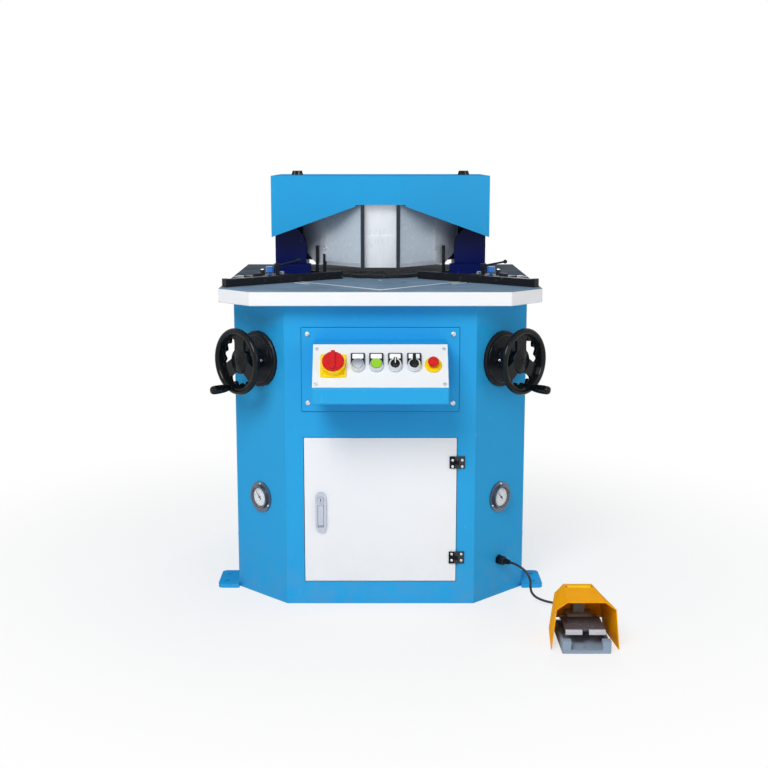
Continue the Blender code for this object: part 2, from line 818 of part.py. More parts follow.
def slot_offset():
    """How far each T-slot lies in front of the scale strip, under the clamp pin."""
    pin_x = FENCE_OUTER_X - CLAMP_ALONG * math.cos(FENCE_ANGLE) + CLAMP_BACK * math.sin(FENCE_ANGLE)
    pin_y = FENCE_OUTER_Y + CLAMP_ALONG * math.sin(FENCE_ANGLE) + CLAMP_BACK * math.cos(FENCE_ANGLE)
    return (pin_x - pin_y + STRIP_MEET_Y) / ROOT_TWO


def make_table():
    """Thick table with its V opening, the die's seats, strip grooves and T-slots."""
    die_grow = RUN_GAP + BLADE_WIDTH + 2 * SEAT_GAP + DIE_WIDTH
    outline = chamfered(TABLE_WIDTH, TABLE_FRONT_Y, TABLE_REAR_Y, TABLE_CORNER)
    slab = rounded(plate(outline, (TABLE_BOTTOM, TABLE_TOP)), TABLE_EDGE_ROUND)
    table = piece("work_table", "table_steel", slab)
    over = TABLE_TOP + OVERRUN
    rear_y = opening_rear_y()
    ledge = RUN_GAP + LEDGE_RELIEF
    cut(table,
        plate(vee(ledge, rear_y), (TABLE_BOTTOM - OVERRUN, over)),
        plate(vee(RUN_GAP + BLADE_WIDTH + SEAT_GAP, rear_y), (BLADE_TOP - BLADE_DEPTH - SEAT_GAP, over)),
        plate(vee(die_grow + SEAT_GAP, rear_y), (DIE_TOP - DIE_DEPTH - SEAT_GAP, over)),
        plate(lobe_outline(die_grow, SEAT_GAP), (DIE_TOP - DIE_DEPTH - SEAT_GAP, over)))
    cut(table, plate(strip_outline(SEAT_GAP), (TABLE_TOP - STRIP_THICK - SEAT_GAP, over)))
    neck = SLOT_NECK / 2
    foot = SLOT_FOOT / 2
    tee = [(neck, OVERRUN), (-neck, OVERRUN), (-neck, -SLOT_NECK_DEPTH), (-foot, -SLOT_NECK_DEPTH),
           (-foot, -SLOT_FOOT_DEPTH), (foot, -SLOT_FOOT_DEPTH), (foot, -SLOT_NECK_DEPTH),
           (neck, -SLOT_NECK_DEPTH)]
    for side in (-1, 1):
        lane = slant_matrix(side) @ shift(y=-side * slot_offset())
        cut(table, moved(side_plate(tee, (SLOT_START, SLOT_END)), lane))


def opening_rear_y():
    """The rear edge of the table's opening, behind the ram's side plates."""
    return ARM_END_X - VEE_SHIFT + RAM_PLATE_THICK * ROOT_TWO + OPENING_RELIEF


def lobe_outline(grow, slack):
    """The die plate's lobe in front of the nose, which reaches into the plate."""
    half = DIE_LOBE_HALF + slack
    root_y = NOSE_Y - grow
    tip_y = root_y - DIE_LOBE_REACH - slack
    bevel = DIE_LOBE_REACH / 2
    return [(half, root_y + DIE_WIDTH / 2), (-half, root_y + DIE_WIDTH / 2),
            (-half, tip_y + bevel), (bevel - half, tip_y), (half - bevel, tip_y), (half, tip_y + bevel)]


def make_strip():
    """Scale strip let flush into the table, a V under both fences."""
    piece("scale_strip", "white_paint", plate(strip_outline(0), (TABLE_TOP - STRIP_THICK, TABLE_TOP)))


def make_die():
    """Black plate round the V and the three lower blades in it, with stop pegs."""
    blade_out = RUN_GAP + BLADE_WIDTH
    inner = blade_out + 2 * SEAT_GAP
    grow = inner + DIE_WIDTH
    around = vee(grow, 0)
    within = vee(inner, 0)
    outline = around[:2] + within[1::-1] + flipped(within[:2])[::-1] + flipped(around[:2])
    span = (DIE_TOP - DIE_DEPTH, DIE_TOP)
    fuse(piece("die_plate", "black_steel", plate(outline, span)), plate(lobe_outline(grow, 0), span))
    nose, arm = vee_band(RUN_GAP, blade_out)
    height = (BLADE_TOP - BLADE_DEPTH, BLADE_TOP)
    piece("lower_blade_nose", "bright_steel", plate(nose, height))
    middle = (RUN_GAP + BLADE_WIDTH / 2) * ROOT_TWO
    for side, name, pegs in ((-1, "left", (PEG_TALL, PEG_SHORT)), (1, "right", (PEG_TALL,))):
        shape = arm if side > 0 else flipped(arm)
        blade = piece("lower_blade_" + name, "bright_steel", plate(shape, height))
        for step, rise in enumerate(pegs):
            x = ARM_END_X - PEG_SET_BACK - step * PEG_SPACING / ROOT_TWO
            fuse(blade, disc(PEG_RADIUS, (BLADE_TOP - SHEET, BLADE_TOP + rise),
                             side * x, x - VEE_SHIFT - middle, sides=SMALL))


def gusset(side, outside):
    """A front plate of a column, its inner edge rounded back towards the top."""
    centre = (GUSSET_INSIDE + GUSSET_ROUND, GUSSET_SHOULDER)
    rise = arc(centre, GUSSET_ROUND, math.pi, math.pi - GUSSET_SWEEP, SMALL)
    bottom = DIE_TOP + SHEET
    outline = [(outside, bottom), (GUSSET_INSIDE, bottom), *rise, (outside, rise[-1][1])]
    body = plate([(side * x, z) for x, z in outline], (-GUSSET_FRONT_Y - GUSSET_THICK, -GUSSET_FRONT_Y))
    return moved(body, Matrix.Rotation(math.pi / 2, 4, "X"))


def make_press_frame():
    """Welded press frame: columns with front plates, crosshead, caps, foot blocks and ram guides."""
    inner = COLUMN_OUTSIDE - COLUMN_THICK
    weld = inner + SHEET
    outside = COLUMN_OUTSIDE
    head = (CROSSHEAD_BOTTOM, CROSSHEAD_BOTTOM + CROSSHEAD_THICK)
    beam = block((-weld, weld), (CROSSHEAD_FRONT_Y, CROSSHEAD_REAR_Y), head)
    press = piece("press_frame", "navy_paint", beam)
    guide = ram_side() + RUN_GAP
    cap_y = (HOOD_KNOB_Y - COLUMN_THICK, HOOD_KNOB_Y + COLUMN_THICK)
    foot_y = (FOOT_BLOCK_FRONT_Y, FOOT_BLOCK_FRONT_Y + FOOT_BLOCK_DEPTH)
    foot_top = STAND + FOOT_BLOCK_HEIGHT
    for side in (-1, 1):
        fuse(press,
             block(sided(side, inner, outside), (COLUMN_FRONT_Y, COLUMN_REAR_Y), (STAND, FRAME_TOP)),
             gusset(side, outside - SHEET),
             block(sided(side, CAP_INSIDE, weld), cap_y, (FRAME_TOP - CAP_THICK, FRAME_TOP)),
             block(sided(side, guide, weld), (GUIDE_FRONT_Y, GUIDE_REAR_Y),
                   (STAND, CROSSHEAD_BOTTOM + SHEET)),
             block(sided(side, weld, outside - SHEET), (FOOT_BLOCK_FRONT_Y + SHEET, COLUMN_FRONT_Y + SHEET),
                   (STAND, foot_top - SHEET)),
             block(sided(side, FOOT_BLOCK_INSIDE, outside), foot_y, (STAND, foot_top)))
    bores = [disc(ROD_RADIUS + RUN_GAP, (head[0] - OVERRUN, head[1] + OVERRUN), 0, CYLINDER_Y)]
    for side in (-1, 1):
        through = (FRAME_TOP - CAP_THICK - OVERRUN, FRAME_TOP + OVERRUN)
        bores.append(disc(HOOD_STUD_RADIUS + SEAT_GAP, through, side * HOOD_KNOB_X, HOOD_KNOB_Y, sides=SMALL))
    cut(press, gathered(bores))


def ram_side():
    """The ram block's half width, inside its side plates."""
    return ARM_END_X - RAM_PLATE_THICK - SEAT_GAP


def make_ram():
    """Ram block, its nose plate, the blades on its arms and the piston rod."""
    carrier = frame("ram", (0, CYLINDER_Y, RAM_BOTTOM))
    down = shift(y=-CYLINDER_Y, z=-RAM_BOTTOM)
    inset = -RAM_PLATE_THICK - SEAT_GAP
    core = plate(vee(inset, RAM_REAR_Y), (RAM_BOTTOM + RAM_BLOCK_RISE, RAM_BLOCK_TOP))
    piece("ram_body", "grey_steel", moved(core, down), on=carrier)

    nose, arm = vee_band(-RAM_PLATE_THICK, 0)
    step_nose, _ = vee_band(-RAM_PLATE_THICK, -NOSE_STEP)
    lower = plate(nose, (RAM_BOTTOM, NOSE_JOINT_Z))
    upper = plate(step_nose, (NOSE_JOINT_Z - SEAT_GAP, RAM_PLATE_TOP))
    fuse(piece("ram_nose", "bright_steel", moved(lower, down), on=carrier), moved(upper, down))

    back = ARM_END_X - VEE_SHIFT + RAM_PLATE_THICK * ROOT_TWO
    arm = arm[:3] + [(arm[2][0], back)]
    clip = RAM_PLATE_CLIP
    for side, name in ((-1, "left"), (1, "right")):
        shape = arm if side > 0 else flipped(arm)
        blade = piece("upper_blade_" + name, "grey_steel",
                      moved(plate(shape, (RAM_BOTTOM, RAM_PLATE_TOP)), down), on=carrier)
        corner = box((clip * ROOT_TWO, 4 * clip, clip * ROOT_TWO), (0, 0, 0))
        lean = Matrix.Rotation(math.pi / 4, 4, "Y")
        cut(blade, moved(corner, down @ shift(side * ARM_END_X, ARM_END_X - VEE_SHIFT, RAM_BOTTOM) @ lean))

    piston = CYLINDER_RADIUS - CYLINDER_WALL - RUN_GAP
    rod = turned([(0, ROD_TOP), (piston, ROD_TOP), (piston, ROD_TOP - PISTON_THICK),
                  (ROD_RADIUS, ROD_TOP - PISTON_THICK), (ROD_RADIUS, RAM_BLOCK_TOP + SEAT_GAP),
                  (0, RAM_BLOCK_TOP + SEAT_GAP)])
    piece("piston_rod", "chrome", moved(rod, shift(z=-RAM_BOTTOM)), on=carrier)


def make_cylinder():
    """Hydraulic cylinder upright on the crosshead, open below for its rod."""
    low = CYLINDER_BOTTOM
    high = low + CYLINDER_HEIGHT
    bore = CYLINDER_RADIUS - CYLINDER_WALL
    barrel = turned([(0, high), (CYLINDER_RADIUS, high), (CYLINDER_RADIUS, low), (ROD_RADIUS + RUN_GAP, low),
                     (ROD_RADIUS + RUN_GAP, low + CYLINDER_WALL / 2), (bore, low + CYLINDER_WALL / 2),
                     (bore, high - CYLINDER_WALL), (0, high - CYLINDER_WALL)])
    piece("cylinder_barrel", "tank_grey", moved(barrel, shift(y=CYLINDER_Y)))


def shell(name, finish, loops, extra_faces, thickness, on=None):
    """A sheet-metal skin through equal loops of points, thickened inwards."""
    mesh = bpy.data.meshes.new(name)
    count = len(loops[0])
    points = [point for loop in loops for point in loop]
    faces = []
    for level in range(len(loops) - 1):
        for step in range(count - 1):
            first = level * count + step
            faces.append((first, first + 1, first + 1 + count, first + count))
    mesh.from_pydata(points, [], faces + extra_faces)
    skin = bmesh.new()
    skin.from_mesh(mesh)
    bmesh.ops.remove_doubles(skin, verts=skin.verts, dist=WELD)
    bmesh.ops.recalc_face_normals(skin, faces=skin.faces)
    part = piece(name, finish, skin, on=on)
    solidify = part.modifiers.new("Sheet", "SOLIDIFY")
    solidify.thickness = thickness
    solidify.offset = -1
    solidify.use_even_offset = True
    return part


def make_hood():
    """Folded hood: a low nose, slanting side panels, skirts, a back and a top."""
    plan = [(HOOD_NOSE_HALF, HOOD_NOSE_Y, HOOD_NOSE_BOTTOM), (HOOD_HALF, HOOD_CORNER_Y, HOOD_SKIRT_BOTTOM),
            (HOOD_HALF, HOOD_REAR_Y, HOOD_SKIRT_BOTTOM)]
    rim = plan + [(-x, y, z) for x, y, z in reversed(plan)]
    rim.append(rim[0])
    top = [(x, y, HOOD_TOP) for x, y, _ in rim]
    lid = [tuple(range(len(rim), 2 * len(rim) - 1))]
    hood = shell("hood", "blue_paint", [rim, top], lid, HOOD_SHEET)
    bores = [disc(HOOD_STUD_RADIUS + SEAT_GAP, (HOOD_TOP - OVERRUN / 2, HOOD_TOP + OVERRUN),
                  side * HOOD_KNOB_X, HOOD_KNOB_Y, sides=SMALL) for side in (-1, 1)]
    cut(hood, gathered(bores))
    fuse(hood, gathered([block(*spans) for spans in post_spans()]))


def lobed(radius, top_radius, z_span, lobes, depth_share=0.06):
    """A knob with shallow lobes round its side, narrower at its top."""
    low, high = z_span
    steps = lobes * 4
    def ring(size):
        points = []
        for step in range(steps):
            turn = math.tau * step / steps
            reach = size * (1 - depth_share + depth_share * math.cos(lobes * turn))
            points.append((reach * math.cos(turn), reach * math.sin(turn)))
        return points
    body = plate(ring(radius), z_span)
    for vert in body.verts:
        if vert.co.z > (low + high) / 2:
            vert.co.x *= top_radius / radius
            vert.co.y *= top_radius / radius
    return body


def make_hood_knobs():
    """Two lobed hand knobs that hold the hood to the press frame."""
    base = HOOD_TOP + SEAT_GAP
    for side, name in ((-1, "left"), (1, "right")):
        spot = frame("hood_knob_axis_" + name, (side * HOOD_KNOB_X, HOOD_KNOB_Y, base))
        head = lobed(HOOD_KNOB_RADIUS, HOOD_KNOB_TOP_RADIUS, (0, HOOD_KNOB_HEIGHT), HOOD_KNOB_LOBES)
        knob = piece("hood_knob_" + name, "black_plastic", head, on=spot)
        fuse(knob, disc(HOOD_STUD_RADIUS, (-HOOD_STUD_LENGTH, SHEET), sides=SMALL))


def post_centre():
    """The middle of the right guard post in plan, inside the hood's nose."""
    half = POST_SIZE / 2
    return HOOD_NOSE_HALF - HOOD_SHEET - half, HOOD_NOSE_Y + HOOD_SHEET / 2 + half


def post_spans():
    """Both guard posts, which hang from the inside of the hood's nose."""
    half = POST_SIZE / 2
    x, y = post_centre()
    return [((side * x - half, side * x + half), (y - half, y + half), (POST_BOTTOM, POST_TOP))
            for side in (-1, 1)]


def make_guard():
    """Clear panels that run back from the posts along the ram's arms."""
    half = GUARD_THICK / 2
    start = POST_SIZE / ROOT_TWO + SEAT_GAP
    x, y = post_centre()
    for side, name in ((-1, "left"), (1, "right")):
        turn = Matrix.Rotation(math.pi / 2 - side * math.pi / 4, 4, "Z")
        panel = block((start, start + GUARD_RUN), (-half, half), (GUARD_BOTTOM, GUARD_TOP))
        piece("guard_panel_" + name, "clear_plastic", moved(panel, shift(side * x, y) @ turn))


def make_fence(side, name):
    """A fence bar on its carriage, with its clamp lever and its knob."""
    place = (side * FENCE_OUTER_X, FENCE_OUTER_Y, STAND)
    carrier = frame("fence_" + name, place, (0, 0, -side * FENCE_ANGLE))
    bar = block(sided(-side, 0, FENCE_LENGTH), (0, FENCE_THICK), (0, FENCE_HEIGHT))
    fence = piece("fence_{}_bar".format(name), "black_steel", bar, on=carrier)
    clamp_x = -side * CLAMP_ALONG
    carriage = (CARRIAGE_ALONG, CARRIAGE_ALONG + CARRIAGE_LENGTH)
    pin_top = CARRIAGE_HEIGHT + CLAMP_PIN_HEIGHT
    tongue = block((-TONGUE_LENGTH / 2, TONGUE_LENGTH / 2),
                   (RUN_GAP - SLOT_NECK / 2, SLOT_NECK / 2 - RUN_GAP), (RUN_GAP - SLOT_NECK_DEPTH, SHEET))
    turn = math.pi / 2 - side * math.pi / 4 + side * FENCE_ANGLE
    lane = Matrix.Rotation(turn, 4, "Z")
    fuse(fence,
         block(sided(-side, 0, FENCE_END_BLOCK), (-FENCE_FACE_STEP, FENCE_THICK + FENCE_FACE_STEP),
               (0, FENCE_HEIGHT + FENCE_END_RISE)),
         block(sided(-side, *carriage), (FENCE_THICK - FENCE_FACE_STEP, FENCE_THICK + CARRIAGE_DEPTH),
               (0, CARRIAGE_HEIGHT)),
         disc(CLAMP_PIN_RADIUS, (CARRIAGE_HEIGHT - SHEET, pin_top), clamp_x, CLAMP_BACK, sides=SMALL),
         moved(tongue, shift(clamp_x, CLAMP_BACK) @ lane))

    hub_place = (clamp_x, CLAMP_BACK, pin_top + SEAT_GAP)
    hub = frame("clamp_" + name, hub_place, (0, 0, side * FENCE_ANGLE), parent=carrier)
    heading = (math.cos(CLAMP_HEADING), -side * math.sin(CLAMP_HEADING))
    level = CLAMP_HUB_HEIGHT / 2
    arm = tube([(0, 0, level), (heading[0] * CLAMP_ARM_LENGTH, heading[1] * CLAMP_ARM_LENGTH,
                                level + CLAMP_ARM_RISE)], CLAMP_ARM_RADIUS, 1)
    ball = bmesh.new()
    bmesh.ops.create_uvsphere(ball, u_segments=SMALL, v_segments=TINY, radius=CLAMP_BALL_RADIUS)
    moved(ball, shift(heading[0] * CLAMP_ARM_LENGTH, heading[1] * CLAMP_ARM_LENGTH, level + CLAMP_ARM_RISE))
    collar = disc(CLAMP_HUB_RADIUS, (0, CLAMP_HUB_HEIGHT))
    fuse(piece("clamp_lever_" + name, "black_steel", collar, on=hub), arm, ball)

    knob_place = (-side * KNOB_ALONG, KNOB_BACK, CARRIAGE_HEIGHT + SEAT_GAP)
    spindle = frame("knob_" + name, knob_place, parent=carrier)
    neck = disc(KNOB_NECK_RADIUS, (0, KNOB_NECK_HEIGHT + SHEET), sides=SMALL)
    head = lobed(KNOB_RADIUS, KNOB_RADIUS, (KNOB_NECK_HEIGHT, KNOB_NECK_HEIGHT + KNOB_HEIGHT), KNOB_LOBES)
    fuse(piece("fence_knob_" + name, "blue_plastic", head, on=spindle), neck)


def make_wheel_flange(side, name):
    """A handwheel's backing disc and bearing boss, on the cabinet's corner."""
    bore = SPINDLE_RADIUS + RUN_GAP
    step = SHEET
    profile = [(bore, WHEEL_BOSS_PROUD), (WHEEL_BOSS_RADIUS - step, WHEEL_BOSS_PROUD),
               (WHEEL_BOSS_RADIUS, WHEEL_BOSS_PROUD - step), (WHEEL_BOSS_RADIUS, WHEEL_FLANGE_THICK),
               (WHEEL_FLANGE_RADIUS - step, WHEEL_FLANGE_THICK),
               (WHEEL_FLANGE_RADIUS, WHEEL_FLANGE_THICK - step),
               (WHEEL_FLANGE_RADIUS, SEAT_GAP), (bore, SEAT_GAP)]
    flange = moved(turned(profile, ring=True), corner_matrix(side, WHEEL_Z))
    piece("wheel_flange_" + name, "black_steel", flange)


def window_outline(turn):
    """One opening between two spokes, its outer edge scalloped for the fingers."""
    half = SPOKE_WIDTH / 2
    reach = math.pi / SPOKES - math.asin(half / WINDOW_RADIUS)
    steps = round(2 * reach / math.tau * WHEEL_SCALLOPS * SCALLOP_STEPS)
    outline = []
    for step in range(steps + 1):
        angle = turn - reach + 2 * reach * step / steps
        radius = WINDOW_RADIUS + WHEEL_SCALLOP_DEPTH * math.cos(WHEEL_SCALLOPS * angle)
        outline.append((radius * math.cos(angle), radius * math.sin(angle)))
    reach = math.pi / SPOKES - math.asin(half / WINDOW_ROOT)
    return outline + arc((0, 0), WINDOW_ROOT, turn + reach, turn - reach, CORNER_STEPS)


def make_handwheel(side, name):
    """A dished handwheel on its spindle: hub, round rim, a web with openings, and grip."""
    carrier = frame("handwheel_axis_" + name, corner_place(side, WHEEL_Z), corner_turn(side))
    hub_low = WHEEL_BOSS_PROUD + SEAT_GAP
    hub_high = hub_low + WHEEL_HUB_LENGTH
    web = WHEEL_OFFSET - WHEEL_DISH
    web_low = web - SPOKE_THICK / 2
    web_high = web + SPOKE_THICK / 2
    middle = WHEEL_RIM_RADIUS - WHEEL_RIM_THICK
    foot = WINDOW_RADIUS + WHEEL_SCALLOP_DEPTH + GRIP_BOSS_RISE
    rim = arc((middle, WHEEL_OFFSET), WHEEL_RIM_THICK, math.pi, -math.pi / 2, RIM_STEPS)
    outline = [(0, hub_high), (WHEEL_HUB_RADIUS - SHEET, hub_high), (WHEEL_HUB_RADIUS, hub_high - SHEET),
               (WHEEL_HUB_RADIUS, web_high), (foot, web_high), *rim, (foot, web_low),
               (WHEEL_HUB_RADIUS, web_low), (WHEEL_HUB_RADIUS, hub_low), (SPINDLE_RADIUS, hub_low),
               (SPINDLE_RADIUS, -SPINDLE_INSIDE), (0, -SPINDLE_INSIDE)]
    wheel = piece("handwheel_" + name, "black_plastic", turned(outline, WHEEL_FACETS), on=carrier)
    first = math.pi / 2 + math.pi / SPOKES
    span = (web_low - OVERRUN, web_high + OVERRUN)
    cut(wheel, *(plate(window_outline(first + math.tau * number / SPOKES), span) for number in range(SPOKES)))
    lean = -math.pi / 2 + side * GRIP_ANGLE
    grip_x = GRIP_ORBIT * math.cos(lean)
    grip_y = GRIP_ORBIT * math.sin(lean)
    seat = WHEEL_OFFSET + WHEEL_RIM_THICK + GRIP_BOSS_RISE
    boss = disc(GRIP_NECK + SHEET, (web, seat), grip_x, grip_y, sides=SMALL)
    pin = disc(GRIP_PIN_RADIUS, (WHEEL_OFFSET, seat + GRIP_LENGTH / 2), grip_x, grip_y, sides=SMALL)
    fuse(wheel, boss, pin)

    grip_frame = frame("grip_axis_" + name, (grip_x, grip_y, seat + SEAT_GAP), parent=carrier)
    bore = GRIP_PIN_RADIUS + RUN_GAP
    length = GRIP_LENGTH
    sides = [(share * GRIP_RADIUS, height * length) for share, height in GRIP_SHARES]
    bored = [(bore, 0), (bore, length / 2 + SHEET), (0, length / 2 + SHEET)]
    piece("grip_" + name, "black_plastic", turned([(0, length)] + sides + bored, ROUND), on=grip_frame)


def make_gauge(side, name):
    """A gauge's case, whose floor is its dial, the lens in it and the needle."""
    dial = GAUGE_DIAL_RADIUS + SEAT_GAP
    floor = GAUGE_DIAL_LEVEL + GAUGE_DIAL_THICK
    profile = [(0, floor), (dial, floor), (dial, GAUGE_RIM_PROUD), (GAUGE_RIM_RADIUS, GAUGE_RIM_PROUD),
               (GAUGE_RIM_RADIUS, GAUGE_FLANGE_THICK), (GAUGE_FLANGE_RADIUS, GAUGE_FLANGE_THICK),
               (GAUGE_FLANGE_RADIUS, SEAT_GAP), (GAUGE_CASE_RADIUS, SEAT_GAP),
               (GAUGE_CASE_RADIUS, -GAUGE_CASE_DEPTH), (0, -GAUGE_CASE_DEPTH)]
    place = corner_matrix(side, GAUGE_Z)
    piece("gauge_case_" + name, "chrome", moved(turned(profile), place))
    lens = disc(GAUGE_DIAL_RADIUS, (GAUGE_LENS_LEVEL, GAUGE_LENS_LEVEL + GAUGE_LENS_THICK))
    piece("gauge_lens_" + name, "clear_plastic", moved(lens, place))
    make_needle(side, name)


def make_needle(side, name):
    """A gauge's needle on its hub, lying over the dial."""
    base = GAUGE_DIAL_LEVEL + GAUGE_DIAL_THICK + SEAT_GAP
    lift = base + NEEDLE_THICK / 2
    carrier = frame("needle_axis_" + name, corner_place(side, GAUGE_Z), corner_turn(side))
    half = NEEDLE_WIDTH / 2
    blade = plate([(-NEEDLE_TAIL, -half), (NEEDLE_LENGTH, -half / 4), (NEEDLE_LENGTH, half / 4),
                   (-NEEDLE_TAIL, half)], (lift, lift + NEEDLE_THICK))
    moved(blade, Matrix.Rotation(NEEDLE_ANGLE, 4, "Z"))
    hub = disc(NEEDLE_HUB_RADIUS, (base, lift + NEEDLE_THICK + NEEDLE_THICK / 2), sides=SMALL)
    fuse(piece("gauge_needle_" + name, "black_plastic", blade, on=carrier), hub)


def make_control_housing():
    """Control box: a wedge-shaped housing welded to its mounting plate."""
    plate_y = CABINET_FRONT_Y - SEAT_GAP - PLATE_THICK
    half = PLATE_WIDTH / 2
    mount = block((-half, half), (plate_y, plate_y + PLATE_THICK),
                  (PLATE_BOTTOM, PLATE_BOTTOM + PLATE_HEIGHT))
    back_y = plate_y + PLATE_THICK / 2
    profile = [(back_y, BOX_BOTTOM), (CABINET_FRONT_Y - BOX_EDGE_PROUD, BOX_BOTTOM),
               (CABINET_FRONT_Y - BOX_EDGE_PROUD, BOX_EDGE_Z), (CABINET_FRONT_Y - BOX_TOP_PROUD, BOX_TOP),
               (back_y, BOX_TOP)]
    housing = rounded(side_plate(profile, (-BOX_WIDTH / 2, BOX_WIDTH / 2)), BOX_EDGE_ROUND)
    control_box = piece("control_box", "blue_paint", housing)
    fuse(control_box, mount)
    inside = BOX_WIDTH / 2 - BOX_SHEET
    window = (inside - BOX_FLANGE, face_length() / 2 - BOX_FLANGE)
    opening = block((-window[0], window[0]), (-window[1], window[1]), (-BOX_FLANGE, BOX_FLANGE))
    tilt = Matrix.Rotation(math.pi / 2 - face_lean(), 4, "X")
    cut(control_box,
        side_plate(box_inside(plate_y), (-inside, inside)),
        moved(opening, Matrix.Translation(face_middle()) @ tilt))


def box_inside(back_y):
    """The box's hollow in side view, one sheet inside its walls and its slope."""
    lean = face_lean()
    front_y = CABINET_FRONT_Y - BOX_EDGE_PROUD + BOX_SHEET
    low, high = BOX_BOTTOM + BOX_SHEET, BOX_TOP - BOX_SHEET
    slope_z = BOX_EDGE_Z - BOX_SHEET * (math.sin(lean) - math.tan(lean / 2) * math.cos(lean))
    top_y = front_y + (high - slope_z) * math.tan(lean)
    return [(back_y, low), (front_y, low), (front_y, slope_z), (top_y, high), (back_y, high)]


def face_length():
    """The slope's length, from the box's front edge to its top edge."""
    return math.hypot(BOX_EDGE_PROUD - BOX_TOP_PROUD, BOX_TOP - BOX_EDGE_Z)


def face_lean():
    """How far the slope leans back from upright."""
    return math.atan2(BOX_EDGE_PROUD - BOX_TOP_PROUD, BOX_TOP - BOX_EDGE_Z)


def face_middle():
    """The middle of the slope."""
    return 0, CABINET_FRONT_Y - (BOX_EDGE_PROUD + BOX_TOP_PROUD) / 2, (BOX_TOP + BOX_EDGE_Z) / 2


def make_faceplate():
    """White faceplate and its frame: X across, Y up the slope, Z outwards."""
    face = frame("faceplate_axes", face_middle(), (math.pi / 2 - face_lean(), 0, 0))
    half_x = BOX_WIDTH / 2 - FACE_MARGIN
    half_y = face_length() / 2 - FACE_MARGIN
    sheet = block((-half_x, half_x), (-half_y, half_y), (SEAT_GAP, FACE_TOP))
    return face, piece("control_faceplate", "white_paint", sheet, on=face)


def make_main_switch(face):
    """Square yellow plate with a collar, and the red rotary knob on it."""
    place = (MAIN_SWITCH_SHARE * BOX_WIDTH, MAIN_SWITCH_V, FACE_TOP + SEAT_GAP)
    spot = frame("main_switch_axis", place, parent=face)
    half = MAIN_PLATE / 2
    square = block((-half, half), (-half, half), (0, MAIN_PLATE_THICK))
    rounded(square, MAIN_PLATE_THICK, 2, upright=True)
    collar = disc(MAIN_COLLAR_RADIUS, (MAIN_PLATE_THICK / 2, MAIN_COLLAR_PROUD + MAIN_PLATE_THICK))
    fuse(piece("main_switch_plate", "yellow_plastic", square, on=spot), collar)
    base = MAIN_COLLAR_PROUD + MAIN_PLATE_THICK + SEAT_GAP
    top = base + MAIN_KNOB_PROUD - MAIN_GRIP_PROUD
    small = MAIN_KNOB_RADIUS * KNOB_TAPER_SHARE
    knob = turned([(0, top), (small, top), (MAIN_KNOB_RADIUS, top - MAIN_GRIP_PROUD / 2),
                   (MAIN_KNOB_RADIUS, base), (0, base)])
    half_grip = MAIN_GRIP_WIDTH / 2
    grip = block((-half_grip, half_grip), (-small, small), (top - SHEET, top + MAIN_GRIP_PROUD))
    fuse(piece("main_switch_knob", "red_plastic", knob, on=spot), rounded(grip, SHEET / 2))


def bezel_outline():
    """A device frame: a rounded foot and a square top that holds a legend."""
    half = BEZEL_WIDTH / 2
    return arc((0, 0), half, math.pi, math.tau, TINY) + [(half, BEZEL_TOP), (-half, BEZEL_TOP)]


def make_devices(face, sheet):
    """Four framed devices: two push buttons and two selectors."""
    shares = (CLEAR_BUTTON_SHARE, GREEN_BUTTON_SHARE, INNER_SELECTOR_SHARE, OUTER_SELECTOR_SHARE)
    places = [share * BOX_WIDTH for share in shares]
    radii = (BUTTON_RADIUS, BUTTON_RADIUS, SELECTOR_RADIUS, SELECTOR_RADIUS)
    span = (FACE_TOP - FACE_THICK / 2, FACE_TOP + BEZEL_THICK)
    bezels = []
    for x, radius in zip(places, radii):
        hole = arc((0, 0), radius + RUN_GAP, 0, math.tau * (ROUND - 1) / ROUND, ROUND - 1)
        bezels.append(moved(plate(bezel_outline(), span, [hole]), shift(x, DEVICE_V)))
    fuse(sheet, gathered(bezels))
    make_push_button(face, "push_button_clear", "grey_plastic", CLEAR_BUTTON_SHARE * BOX_WIDTH)
    make_push_button(face, "push_button_green", "green_plastic", GREEN_BUTTON_SHARE * BOX_WIDTH)
    make_selector(face, "selector_inner", INNER_SELECTOR_SHARE * BOX_WIDTH, SELECTOR_GRIP_LENGTH)
    make_selector(face, "selector_outer", OUTER_SELECTOR_SHARE * BOX_WIDTH, SELECTOR_STEM_LENGTH)


def make_push_button(face, name, finish, x):
    """A flat-topped button that stands proud of its bezel."""
    spot = frame(name + "_axis", (x, DEVICE_V, FACE_TOP), parent=face)
    base = BEZEL_THICK - SHEET / 2
    top = BEZEL_THICK + BUTTON_PROUD
    cap = turned([(0, top), (BUTTON_RADIUS - SHEET / 2, top), (BUTTON_RADIUS, top - SHEET / 2),
                  (BUTTON_RADIUS, base), (0, base)], ROUND)
    piece(name, finish, cap, on=spot)


def make_selector(face, name, x, length):
    """A selector: a disc that stands out of the bezel, with a grip bar across it."""
    spot = frame(name + "_axis", (x, DEVICE_V, FACE_TOP), parent=face)
    top = BEZEL_THICK + SELECTOR_RISE
    half = SELECTOR_GRIP_WIDTH / 2
    tail = SELECTOR_GRIP_LENGTH / 2
    grip = block((-half, half), (-tail, length - tail), (top - SHEET, top + SELECTOR_GRIP_PROUD))
    knob = piece(name, "black_plastic", disc(SELECTOR_RADIUS, (SEAT_GAP, top), sides=ROUND), on=spot)
    fuse(knob, rounded(grip, SHEET / 2))


